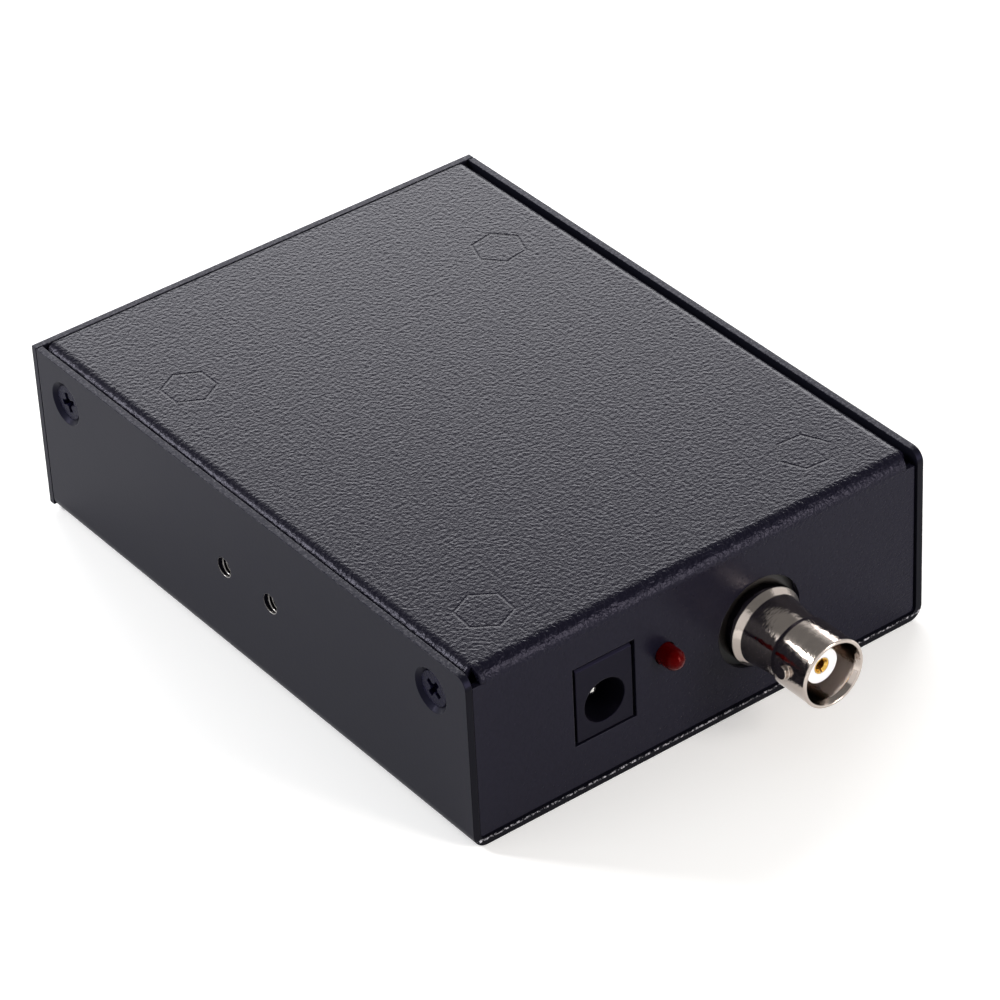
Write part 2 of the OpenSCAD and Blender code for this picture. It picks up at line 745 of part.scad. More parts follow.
// Section of the BNC shell: radius against distance out of the panel
function shell_section() = [
  [dielectric, shell_back],
  [shell_tube, shell_back],
  [shell_tube, ring_base],
  [ring_diameter / 2, ring_base],
  [ring_diameter / 2, ring_reach],
  [neck_root / 2, ring_reach + ring_chamfer],
  for (i = [0 : 6]) waist_point(i / 6),
  [collar_diameter / 2 - collar_edge, collar_back],
  [collar_diameter / 2, collar_back + collar_edge],
  [collar_diameter / 2, bnc_reach - mouth_chamfer],
  [collar_diameter / 2 - mouth_chamfer, bnc_reach],
  [collar_diameter / 2 - mouth_chamfer - mouth_flat, bnc_reach],
  [collar_bore / 2, bnc_reach - mouth_lead_in],
  [collar_bore / 2, bore_floor],
  [insulator_diameter / 2 + shell_fit, bore_floor],
  [insulator_diameter / 2 + shell_fit, bore_floor - shoulder],
  [dielectric, bore_floor - shoulder]
];

// Point of the hollow curve between neck and collar, from share 0 at the neck to 1 at the collar
function waist_point(share) = [
  neck_waist / 2 + (collar_diameter / 2 - collar_edge - neck_waist / 2) * (1 - cos(90 * share)),
  collar_back - waist_fillet + waist_fillet * sin(90 * share)
];

module bnc_shell() {
  color("#c9c3bd") on_panel(bnc_x, bnc_z) difference() {
    union() {
      rotate_extrude() polygon(shell_section());
      for (turn = [0, 180]) rotate(lug_turn + turn) translate([0, 0, bnc_reach - lug_setback])
        rotate([0, 90, 0]) translate([0, 0, (collar_bore + collar_diameter) / 4])
          cylinder(d = lug_diameter, h = lug_span / 2 - (collar_bore + collar_diameter) / 4);
    }
    for (side = [-1, 1], y = post_ys) translate([side * post_x, post_foot, panel_y - y])
      rotate([-90, 0, 0]) cylinder(r = post_radius + shell_fit, h = shell_tube);
  }
}

module bnc_insulator() {
  front_radius = insulator_diameter / 2;
  step = bore_floor - shoulder - shell_fit;
  color("white") on_panel(bnc_x, bnc_z) rotate_extrude() polygon([
    [tail_radius + shell_fit, shell_back],
    [dielectric - shell_fit, shell_back],
    [dielectric - shell_fit, step],
    [front_radius, step],
    [front_radius, insulator_face],
    [contact_diameter / 2 + shell_fit, insulator_face],
    [contact_diameter / 2 + shell_fit, contact_seat],
    [tail_radius + shell_fit, contact_seat]
  ]);
}

module bnc_centre_contact() {
  color("gold") {
    on_panel(bnc_x, bnc_z) difference() {
      union() {
        translate([0, 0, contact_seat]) cylinder(d = contact_diameter, h = contact_length);
        translate([0, 0, tail_start]) cylinder(r = tail_radius, h = contact_seat - tail_start);
      }
      translate([0, 0, contact_bore_floor]) cylinder(d = contact_bore, h = contact_bore_length + overrun);
      translate([0, 0, insulator_face - contact_lead_in])
        cylinder(r1 = contact_bore / 2, r2 = contact_bore / 2 + contact_lead_in, h = contact_lead_in);
      translate([-contact_slot / 2, -contact_diameter, contact_bore_floor])
        cube([contact_slot, 2 * contact_diameter, contact_bore_length + overrun]);
    }
    translate([bnc_x, panel_y - tail_start, bnc_z + tail_bend]) rotate([0, 90, 0])
      rotate_extrude(angle = 90) translate([tail_bend, 0]) circle(r = tail_radius);
    translate([bnc_x, tail_y, bnc_z + tail_bend])
      cylinder(r = tail_radius, h = board_top_z + lead_tail - bnc_z - tail_bend);
  }
}

module bnc_housing() {
  half = bnc_housing_width / 2;
  color("#141414") on_panel(bnc_x, bnc_z) difference() {
    translate([0, 0, housing_back]) linear_extrude(bnc_housing_depth) polygon([
      [-half, bnc_drop], [-half, housing_chamfer - bnc_drop], [housing_chamfer - half, -bnc_drop],
      [half - housing_chamfer, -bnc_drop], [half, housing_chamfer - bnc_drop], [half, bnc_drop]
    ]);
    translate([0, 0, shell_back - shell_fit]) cylinder(r = shell_tube + shell_fit, h = bnc_housing_depth);
    translate([0, 0, housing_back - overrun]) cylinder(r = tail_radius + shell_fit, h = bnc_housing_depth);
    for (side = [-1, 1], y = post_ys) translate([side * post_x, 0, panel_y - y])
      rotate([-90, 0, 0]) cylinder(r = post_radius + shell_fit, h = bnc_drop + overrun);
  }
}

module bnc_ground_posts() {
  color("silver") for (side = [-1, 1], y = post_ys)
    translate([bnc_x + side * post_x, y, bnc_z + post_foot])
      cylinder(r = post_radius, h = board_top_z + lead_tail - bnc_z - post_foot);
}

module jack_body() {
  half = jack_width / 2;
  rear_half = jack_rear_width / 2;
  color("#1b1b1d") on_panel(jack_x, jack_z, jack_y) difference() {
    union() {
      rotate([0, 90, 0]) linear_extrude(jack_width, center = true) polygon([
        [0, -jack_foot], [0, jack_top - jack_chamfer], [jack_chamfer, jack_top], [jack_flange, jack_top],
        [jack_flange, -jack_foot]
      ]);
      translate([0, 0, -jack_length]) linear_extrude(jack_length - jack_flange) {
        circle(r = rear_half);
        translate([-rear_half, 0]) square([jack_rear_width, jack_top]);
      }
    }
    translate([0, 0, -jack_bore_depth]) cylinder(d = jack_bore, h = jack_bore_depth + overrun);
    translate([0, 0, -jack_length - overrun]) cylinder(r = rivet_radius + pin_fit, h = jack_length);
    translate([-spring_width / 2 - spring_room, spring_level - spring_room, -spring_end])
      cube([spring_width + 2 * spring_room, jack_top, spring_end - spring_start + spring_room]);
  }
}

module jack_centre_pin() {
  radius = jack_pin / 2;
  tail = jack_length + terminal_sheet + rivet_length;
  color("#d8d8d4") on_panel(jack_x, jack_z, jack_y) {
    translate([0, 0, -tail]) cylinder(r = rivet_radius, h = tail - jack_pin_depth - radius);
    translate([0, 0, -jack_bore_depth]) cylinder(r = radius, h = jack_bore_depth - jack_pin_depth - radius);
    translate([0, 0, -jack_pin_depth - radius]) sphere(r = radius);
  }
}

module jack_pin_terminal() {
  color("silver") on_panel(jack_x, jack_z, jack_y + jack_length) difference() {
    translate([-terminal_width / 2, -terminal_foot, -terminal_sheet])
      cube([terminal_width, terminal_foot + jack_top + board_thickness + lead_tail, terminal_sheet]);
    translate([0, 0, -terminal_sheet - overrun])
      cylinder(r = rivet_radius + pin_fit, h = terminal_sheet + 2 * overrun);
  }
}

module jack_sleeve_spring() {
  color("#c8a860") translate([jack_x, jack_y, jack_z]) run_along_x(spring_width) {
    translate([spring_start, spring_level]) square([spring_end - spring_start, spring_sheet]);
    translate([spring_end - spring_sheet, spring_level])
      square([spring_sheet, jack_top - spring_level + board_thickness + lead_tail]);
  }
}

module jack_switch_contact() {
  color("silver") translate([jack_x + jack_rear_width / 2, jack_y + switch_start, jack_z + switch_foot])
    cube([spring_sheet, switch_width, jack_top - switch_foot + board_thickness + lead_tail]);
}

module led_lens() {
  radius = led_diameter / 2;
  color("#a01018") on_panel(led_x, led_z, led_back) {
    cylinder(d = led_flange, h = led_flange_thickness);
    cylinder(r = radius, h = led_length - radius);
    translate([0, 0, led_length - radius]) sphere(r = radius);
  }
}

module led_leads() {
  rise = led_drop + led_lead / 2 + board_thickness + lead_tail;
  color("silver") for (side = [-1, 1])
    translate([led_x + side * led_pitch / 2, led_back, led_z - led_lead / 2]) run_along_x(led_lead) {
      square([led_run, led_lead]);
      translate([led_run, 0]) fold_section(led_bend, led_lead, rise);
    }
}

module outlet_shell() {
  leg_start = outlet_outer_height - outlet_straight / 2;
  color("#c4c4c4") {
    on_outlet(0, outlet_depth) difference() {
      outlet_outline(0);
      outlet_outline(outlet_sheet);
    }
    for (side = [-1, 1], setback = outlet_leg_setbacks)
      translate([outlet_x + side * outlet_leg_x, outlet_face_y - setback - outlet_leg / 2,
          board_z - leg_start])
        block([outlet_sheet, outlet_leg, leg_start + board_thickness + lead_tail / 2]);
  }
}

module outlet_tongue() {
  color("#18181a") {
    on_outlet(outlet_depth - outlet_block, outlet_block) outlet_outline(outlet_sheet);
    on_outlet(tongue_sink, outlet_depth - tongue_sink - outlet_block / 2)
      translate([-tongue_width / 2, tongue_level - tongue_thickness / 2])
        square([tongue_width, tongue_thickness]);
  }
}

module outlet_contacts() {
  color("gold") for (row = [0, 1], i = [0 : outlet_row_counts[row] - 1]) {
    x = (i - (outlet_row_counts[row] - 1) / 2) * outlet_pitch;
    level = tongue_level + (2 * row - 1) * (tongue_thickness + outlet_contact_thickness) / 2;
    on_outlet(outlet_contact_start, outlet_depth - outlet_block - outlet_contact_start)
      translate([x - outlet_contact_width / 2, level - outlet_contact_thickness / 2])
        square([outlet_contact_width, outlet_contact_thickness]);
    on_outlet(outlet_depth, outlet_tail_length)
      translate([x - outlet_contact_width / 2, 0]) square([outlet_contact_width, outlet_contact_thickness]);
  }
}

// Gull-wing lead, its foot on Z = 0, leaving a chip's side at X = 0 towards +X
module gull_lead(reach, height, width) {
  knee = reach - lead_foot;
  rotate([90, 0, 0]) linear_extrude(width, center = true) polygon([
    [-lead_sheet, height + lead_sheet], [knee, height + lead_sheet], [knee + lead_sheet, lead_sheet],
    [reach, lead_sheet], [reach, 0], [knee, 0], [knee - lead_sheet, height], [-lead_sheet, height]
  ]);
}

// Row of leads along one side of a chip
module lead_row(edge, count, pitch, reach, height, width) {
  for (i = [0 : count - 1])
    translate([edge, (i - (count - 1) / 2) * pitch, 0]) gull_lead(reach, height, width);
}

// Chip with leads on two opposite sides
module small_outline_chip() {
  translate([0, 0, chip_lift]) block(small_outline_size);
  for (turn = [0, 180]) rotate(turn)
    lead_row(small_outline_size[0] / 2, small_outline_lead_count, small_outline_pitch,
      small_outline_reach, small_outline_size[2] / 2, small_outline_lead_width);
}

module video_processor() {
  color("#202022") under_board(processor_shares) {
    translate([0, 0, chip_lift]) block([processor_side, processor_side, processor_height]);
    for (turn = [0 : 90 : 270]) rotate(turn)
      lead_row(processor_side / 2, processor_lead_count, processor_pitch, processor_reach,
        processor_height / 2, processor_lead_width);
  }
}

module output_transmitter() {
  color("#202022") under_board(transmitter_shares) block(transmitter_size);
}

module cable_equaliser() {
  color("#202022") under_board(equaliser_shares) block(equaliser_size);
}

module configuration_memory() {
  color("#202022") under_board(memory_shares) small_outline_chip();
}

module buck_regulator() {
  color("#202022") under_board(buck_shares) small_outline_chip();
}

module core_regulators() {
  color("#202022") for (shares = core_regulator_shares) under_board(shares) {
    translate([0, 0, chip_lift]) block(regulator_size);
    rotate(-90) lead_row(regulator_size[1] / 2, regulator_lead_count, regulator_pitch, regulator_reach,
      regulator_size[2] / 2, regulator_lead_width);
    rotate(90) translate([regulator_size[1] / 2, 0, 0])
      gull_lead(regulator_reach, regulator_size[2] / 2, regulator_tab_width);
  }
}

module power_inductor() {
  half = inductor_size[0] / 2;
  cut = half - inductor_corner;
  color("#4a4a4c") under_board(inductor_shares) {
    linear_extrude(inductor_size[2] - inductor_step) polygon([
      [half, cut], [cut, half], [-cut, half], [-half, cut],
      [-half, -cut], [-cut, -half], [cut, -half], [half, -cut]
    ]);
    cylinder(d = inductor_core, h = inductor_size[2]);
  }
}

module reservoir_cans() {
  radius = can_diameter / 2;
  top = can_base[2] + can_height;
  color("#c8c8cc") for (shares = reservoir_shares) under_board(shares) rotate_extrude() polygon([
    [0, can_base[2]],
    [radius, can_base[2]],
    [radius, can_base[2] + can_crimp_level],
    [radius - can_crimp, can_base[2] + can_crimp_level + can_crimp_height / 2],
    [radius, can_base[2] + can_crimp_level + can_crimp_height],
    [radius, top - can_crimp],
    [radius - can_crimp, top],
    [0, top]
  ]);
}

module reservoir_bases() {
  half = can_base[0] / 2;
  cut = half - can_base_chamfer;
  color("#1a1a1a") for (shares = reservoir_shares) under_board(shares) linear_extrude(can_base[2])
    polygon([[half, half], [-half, half], [-half, -cut], [-cut, -half], [cut, -half], [half, -cut]]);
}

module polarity_diode() {
  color("#202022") under_board(diode_shares) {
    translate([0, 0, chip_lift]) block(diode_size);
    for (turn = [0, 180]) rotate(turn) translate([diode_size[0] / 2 - lead_foot, -diode_lead_width / 2, 0])
      cube([2 * lead_foot, diode_lead_width, chip_lift + lead_sheet]);
  }
}

module resettable_fuse() {
  color("#3f7d4a") under_board(fuse_shares) {
    block([fuse_size[0] - fuse_cap, fuse_size[1], fuse_size[2] - chip_lift]);
    for (side = [-1, 1]) translate([side * (fuse_size[0] - fuse_cap) / 2, 0, 0])
      block([fuse_cap, fuse_size[1], fuse_size[2]]);
  }
}

// Outline with two round ends
module round_ended(length, width) {
  square([length - width, width], center = true);
  for (side = [-1, 1]) translate([side * (length - width) / 2, 0]) circle(d = width);
}

module crystal() {
  color("#c8c8cc") under_board(crystal_shares, 90) {
    linear_extrude(crystal_base) round_ended(crystal_length, crystal_width + 2 * crystal_rim);
    linear_extrude(crystal_base + crystal_can) round_ended(crystal_length - 2 * crystal_rim, crystal_width);
  }
}

// Two-ended chip part with its metal ends
module chip_part(size) {
  block([size[0] - end_cap, size[1], size[2] - lead_sheet / 2]);
  for (side = [-1, 1]) translate([side * (size[0] - end_cap) / 2, 0, 0]) block([end_cap, size[1], size[2]]);
}

module ceramic_capacitors() {
  color("#9a7d58") {
    for (turn = [0 : 90 : 270], i = [-1, 0, 1]) under_board(processor_shares, turn)
      translate([processor_side / 2 + processor_reach + part_gap + capacitor_size[1],
        i * processor_side / 3, 0]) rotate(90) chip_part(capacitor_size);
    for (turn = [0, 180], i = [-1, 1]) under_board(transmitter_shares, turn)
      translate([transmitter_size[0] / 2 + part_gap + capacitor_size[1], i * transmitter_size[1] / 4, 0])
        rotate(90) chip_part(capacitor_size);
    for (shares = coupling_shares) under_board(shares) chip_part(capacitor_size);
  }
}

module chip_resistors() {
  color("#26262a") for (row = [0 : len(resistor_row_shares) - 1], i = [0 : resistor_row_counts[row] - 1])
    under_board(resistor_row_shares[row])
      translate([(i - (resistor_row_counts[row] - 1) / 2) * resistor_row_pitch, 0, 0])
        rotate(90) chip_part(resistor_size);
}

lower_tray();
top_chassis();
board_standoffs();
case_screws();
circuit_board();
board_screws();
bnc_shell();
bnc_insulator();
bnc_centre_contact();
bnc_housing();
bnc_ground_posts();
jack_body();
jack_centre_pin();
jack_pin_terminal();
jack_sleeve_spring();
jack_switch_contact();
led_lens();
led_leads();
outlet_shell();
outlet_tongue();
outlet_contacts();
video_processor();
output_transmitter();
cable_equaliser();
configuration_memory();
buck_regulator();
core_regulators();
power_inductor();
reservoir_cans();
reservoir_bases();
polarity_diode();
resettable_fuse();
crystal();
ceramic_capacitors();
chip_resistors();
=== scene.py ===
"""Dresses the video converter: coats, plating, plastics, small metalwork, lights and camera."""
import math

import bmesh
import bpy
from bpy.props import FloatProperty, FloatVectorProperty, PointerProperty
from mathutils import Matrix, Vector


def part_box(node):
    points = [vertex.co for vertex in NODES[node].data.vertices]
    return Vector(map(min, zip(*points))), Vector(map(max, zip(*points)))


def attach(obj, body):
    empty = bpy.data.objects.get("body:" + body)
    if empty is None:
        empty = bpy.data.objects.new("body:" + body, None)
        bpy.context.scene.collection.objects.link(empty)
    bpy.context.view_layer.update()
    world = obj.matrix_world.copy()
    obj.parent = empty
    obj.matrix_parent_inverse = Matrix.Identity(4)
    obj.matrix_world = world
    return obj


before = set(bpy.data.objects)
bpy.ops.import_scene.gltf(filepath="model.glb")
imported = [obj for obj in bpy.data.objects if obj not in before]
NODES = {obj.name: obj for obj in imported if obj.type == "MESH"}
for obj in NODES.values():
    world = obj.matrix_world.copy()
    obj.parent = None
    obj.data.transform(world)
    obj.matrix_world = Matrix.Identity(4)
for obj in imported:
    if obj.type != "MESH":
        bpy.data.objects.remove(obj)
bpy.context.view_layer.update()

bl_info = {
    "name": "Video converter finish",
    "version": (1, 0, 0),
    "blender": (4, 5, 0),
    "location": "3D View > Sidebar > Converter",
    "description": "Materials, small metalwork, lights and camera for a video converter",
    "category": "Object",
}

MM = 0.001

# Places taken from the frame's own boxes, in metres
TRAY_LOW, TRAY_HIGH = (Vector(corner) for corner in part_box("lower_tray"))
CHASSIS_LOW, CHASSIS_HIGH = (Vector(corner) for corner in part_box("top_chassis"))
LENS_LOW, LENS_HIGH = (Vector(corner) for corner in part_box("led_lens"))
BOARD_LOW, BOARD_HIGH = (Vector(corner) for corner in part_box("circuit_board"))
LENS_MIDDLE = (LENS_LOW + LENS_HIGH) / 2
BOARD_MIDDLE = (BOARD_LOW + BOARD_HIGH) / 2
CASE_MIDDLE = (TRAY_LOW + TRAY_HIGH) / 2
CASE_TOP = TRAY_HIGH.z

# Sheet metal of the case: thickness of both sheets, outer radii of the chassis' bends,
# and the relief between them at its front corners
SHEET = 1.0 * MM
PANEL_BEND = 2.0 * MM
FLANGE_BEND = 1.8 * MM
CORNER_RELIEF = 0.6 * MM

# Gap between a standoff's head and its hexagonal hole
HEAD_GROOVE = 0.15 * MM

# The two tapped holes in the left wall: middle, spacing, bore and how far the thread runs in
SIDE_HOLES_Y = -0.75 * MM
SIDE_HOLES_Z = 14.3226 * MM
SIDE_HOLES_SPACING = 10.5 * MM
SIDE_HOLE_RADIUS = 1.5 * MM
SIDE_HOLE_DEPTH = 1.8 * MM

# Depth within which a face counts as the tray's sheared edge, and the reach of the painted highlights
# along its sill's edge
EDGE_DEPTH = 0.12 * MM
SILL_EDGE_REACH = 0.22 * MM

# Round the chassis' front bend, in millimetres: where the wrinkles fade below the case's top,
# and where they stand up below the top and behind the panel's face
WRINKLE_FADE = (2.8, 1.4)
BEND_BELOW_TOP = (2.4, 1.6)
BEND_BEHIND_FACE = (2.2, 1.4)

# Upward share of a ray's direction between which the white room fades to its ceiling
CEILING_FADE = (0.58, 0.74)


def linear(code):
    """Linear red, green, blue and alpha of an sRGB hex code."""
    shares = [int(code[i : i + 2], 16) / 255 for i in (1, 3, 5)]
    return tuple(c / 12.92 if c <= 0.04045 else ((c + 0.055) / 1.055) ** 2.4 for c in shares) + (1.0,)


WHITE = linear("#ffffff")


def hue(name, description, code):
    """Colour property whose default is an sRGB hex code."""
    return FloatVectorProperty(
        name=name, description=description, subtype="COLOR", size=4, min=0, max=1, default=linear(code)
    )


def length(name, description, millimetres):
    """Length property in metres whose default is given in millimetres."""
    return FloatProperty(
        name=name, description=description, unit="LENGTH", precision=5, default=millimetres * MM
    )


def number(name, description, value):
    """Plain number property."""
    return FloatProperty(name=name, description=description, default=value)


class CoatSettings(bpy.types.PropertyGroup):
    """Powder coats of the two folded sheets"""

    tray_colour: hue("Tray coat", "Smooth satin coat of the lower tray", "#12121a")
    tray_roughness: number("Tray roughness", "Blur of the tray's sheen", 0.38)
    tray_sheen: hue("Tray sheen", "Violet cast of the smooth coat's sheen", "#b6b2f2")
    grain_colour: hue("Grained coat", "Leather-grain coat of the top chassis", "#12111c")
    grain_roughness: number("Grain roughness", "Blur of the grained coat's sheen", 0.27)
    grain_sheen: hue("Grain sheen", "Faint violet cast of the grained coat's sheen", "#d5d1ee")
    grain_size: length("Grain size", "Width of one wrinkle of the grained coat", 0.54)
    grain_height: length("Grain height", "Height of the wrinkles over their valleys", 0.085)
    panel_share: number("Panel share", "Share of the wrinkles' strength that the panel keeps", 0.3)
    bend_share: number("Bend share", "How many times higher the wrinkles stand round the bend", 2.1)
    groove_dip: length("Groove dip", "How far the coat sinks over the grooves of the heads", 0.045)
    groove_width: length("Groove width", "How far to each side of a groove the coat sinks", 0.32)
    coat_edge: length("Coat edge", "Radius to which the coat rounds the sheet's edges", 0.16)


class MetalSettings(bpy.types.PropertyGroup):
    """Plated and bare metals"""

    nickel: hue("Nickel plate", "Bright nickel on the bayonet socket", "#c2b7af")
    gold: hue("Gold plate", "Thin gold on the contacts", "#e0b45c")
    tin: hue("Tin plate", "Tin on leads, posts and pins", "#c9c8c4")
    screw_black: hue("Screw black", "Black zinc on the case screws", "#0e0d1f")
    thread_pitch: length("Thread pitch", "Distance between two thread turns", 0.5)
    thread_depth: length("Thread depth", "Height of the thread's ridge", 0.27)


class PlasticSettings(bpy.types.PropertyGroup):
    """Moulded plastics, lens and laminate"""

    jack_black: hue("Jack black", "Moulded polyester of the power jack", "#0a0910")
    lens_red: hue("Lens red", "Tinted epoxy of the indicator", "#500103")
    insulator_white: hue("Insulator white", "PTFE of the socket's insulator", "#eeedf0")
    mask_green: hue("Solder mask", "Green mask on the circuit board", "#0f5a2c")


class StageSettings(bpy.types.PropertyGroup):
    """Floor, lights and camera"""

    focal_length: number("Focal length", "Camera lens in millimetres", 168.31)
    azimuth: number("Azimuth", "Camera's turn round the object in degrees", -35.745)
    elevation: number("Elevation", "Camera's height angle in degrees", 35.719)
    roll: number("Roll", "Camera's turn about its own axis in degrees", -2.994)
    target: FloatVectorProperty(
        name="Target", description="Place of the object's origin seen from the camera, in metres",
        size=3, precision=6, default=(-0.003241, 0.008137, 0.639048),
    )
    floor_colour: hue("Floor", "Pale floor under the object", "#ededed")
    floor_lift: number("Floor lift", "Own light of the floor where it is seen directly", 0.22)
    sky: number("Sky", "Strength of the even light all round", 0.5)
    ceiling: number("Ceiling", "Brightness of the room overhead, where white is 1", 0.24)
    key: number("Key light", "Power of the large light behind the object in watts", 7.0)
    fill: number("Fill light", "Power of the soft light from the left in watts", 0.6)
    glint: number("Glint light", "Power of the light from the front right in watts", 4.2)
    window: number("Window light", "Power of the high light behind on the left in watts", 3.8)


GROUPS = {
    CoatSettings: "converter_coat",
    MetalSettings: "converter_metal",
    PlasticSettings: "converter_plastic",
    StageSettings: "converter_stage",
}


def settings():
    """This scene's property groups: coats, metals, plastics and stage."""
    return [getattr(bpy.context.scene, name) for name in GROUPS.values()]


def add(tree, kind, links=None, **values):
    """Adds one node. Values set its attributes, and links maps an input to a value or an output."""
    node = tree.nodes.new(kind)
    for name, value in values.items():
        setattr(node, name, value)
    for name, source in (links or {}).items():
        if isinstance(source, bpy.types.NodeSocket):
            tree.links.new(source, node.inputs[name])
        else:
            node.inputs[name].default_value = source
    return node


def new_material(name, colour, roughness, metallic=0.0, **sockets):
    """Material with one Principled shader. More sockets are set by name, with _ for a space."""
    material = bpy.data.materials.new(name)
    material.use_nodes = True
    tree = material.node_tree
    tree.nodes.clear()
    shader = add(
        tree, "ShaderNodeBsdfPrincipled",
        {"Base Color": colour, "Roughness": roughness, "Metallic": metallic},
    )
    for socket, value in sockets.items():
        shader.inputs[socket.replace("_", " ")].default_value = value
    add(tree, "ShaderNodeOutputMaterial", {"Surface": shader.outputs["BSDF"]})
    return material, tree, shader


def place_mm(tree):
    """Output with the surface's place in millimetres."""
    place = add(tree, "ShaderNodeTexCoord").outputs["Object"]
    return add(tree, "ShaderNodeVectorMath", {0: place, "Scale": 1 / MM}, operation="SCALE").outputs[0]


def bump(tree, shader, layers, edge=0.0):
    """Stacks bump layers of (height output, distance in metres, strength) over rounded edges."""
    normal = None
    if edge:
        normal = add(tree, "ShaderNodeBevel", {"Radius": edge}, samples=6).outputs["Normal"]
    for height, distance, strength in layers:
        links = {"Height": height, "Distance": distance, "Strength": strength}
        if normal is not None:
            links["Normal"] = normal
        normal = add(tree, "ShaderNodeBump", links).outputs["Normal"]
    tree.links.new(normal, shader.inputs["Normal"])


def vary(tree, shader, source, colour, low, high, roughness=None):
    """Varies the colour between two multiples, and the roughness, by a 0 to 1 output."""
    dark = tuple(c * low for c in colour[:3]) + (1.0,)
    pale = tuple(min(1, c * high) for c in colour[:3]) + (1.0,)
    mixed = add(
        tree, "ShaderNodeMix", {"Factor": source, 6: dark, 7: pale}, data_type="RGBA"
    ).outputs[2]
    tree.links.new(mixed, shader.inputs["Base Color"])
    if roughness:
        low, high = roughness
        spread = add(tree, "ShaderNodeMapRange", {"Value": source, "To Min": low, "To Max": high})
        tree.links.new(spread.outputs["Result"], shader.inputs["Roughness"])
    return mixed


def dress(material, *nodes):
    """Gives a material to whole CAD nodes."""
    for name in nodes:
        mesh = NODES[name].data
        mesh.materials.clear()
        mesh.materials.append(material)


def piece(name, shape, material, smooth=True):
    """New piece from a bmesh, riding on the body."""
    mesh = bpy.data.meshes.new(name)
    shape.to_mesh(mesh)
    shape.free()
    if smooth:
        mesh.shade_smooth()
    mesh.materials.append(material)
    made = bpy.data.objects.new(name, mesh)
    bpy.context.scene.collection.objects.link(made)
    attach(made, "root")
    return made


def loft(rings, closed=True, capped=True):
    """bmesh through rings of points, each ring with the same count."""
    made = bmesh.new()
    loops = [[made.verts.new(point) for point in ring] for ring in rings]
    count = len(loops[0])
    for a, b in zip(loops, loops[1:]):
        for i in range(count if closed else count - 1):
            j = (i + 1) % count
            made.faces.new((a[i], a[j], b[j], b[i]))
    if capped:
        made.faces.new(list(reversed(loops[0])))
        made.faces.new(loops[-1])
    bmesh.ops.recalc_face_normals(made, faces=made.faces)
    return made


def join(parts):
    """One bmesh from several."""
    whole = bmesh.new()
    for part in parts:
        mesh = bpy.data.meshes.new("part")
        part.to_mesh(mesh)
        part.free()
        whole.from_mesh(mesh)
        bpy.data.meshes.remove(mesh)
    return whole


def ring_points(centre, radius, steps, axis="Y"):
    """Points of a circle round the X or the Y axis."""
    points = []
    for i in range(steps):
        angle = math.tau * i / steps
        c, s = math.cos(angle) * radius, math.sin(angle) * radius
        points.append(Vector(centre) + Vector((0, c, s) if axis == "X" else (c, 0, s)))
    return points


# Powder coats


class ConverterCoats(bpy.types.Operator):
    """Powder coats of the tray, the chassis and the standoff heads"""

    bl_idname = "converter.coats"
    bl_label = "Powder coats"

    def execute(self, context):
        coat = settings()[0]
        # Smooth satin powder coat, sprayed and baked: faint orange peel, a soft violet-black sheen
        dress(smooth_powder_coat(coat), "lower_tray")
        # Leather-grain powder coat: low wrinkles half a millimetre apart, which break up the sheen
        grained = leather_grain_powder_coat(coat)
        dress(grained, "top_chassis", "board_standoffs")
        piece("coat_in_head_grooves", join(groove_coats(coat.groove_dip / 8)), grained)
        piece("corner_bend_ends", join(corner_bends()), grained, smooth=False)
        return {"FINISHED"}


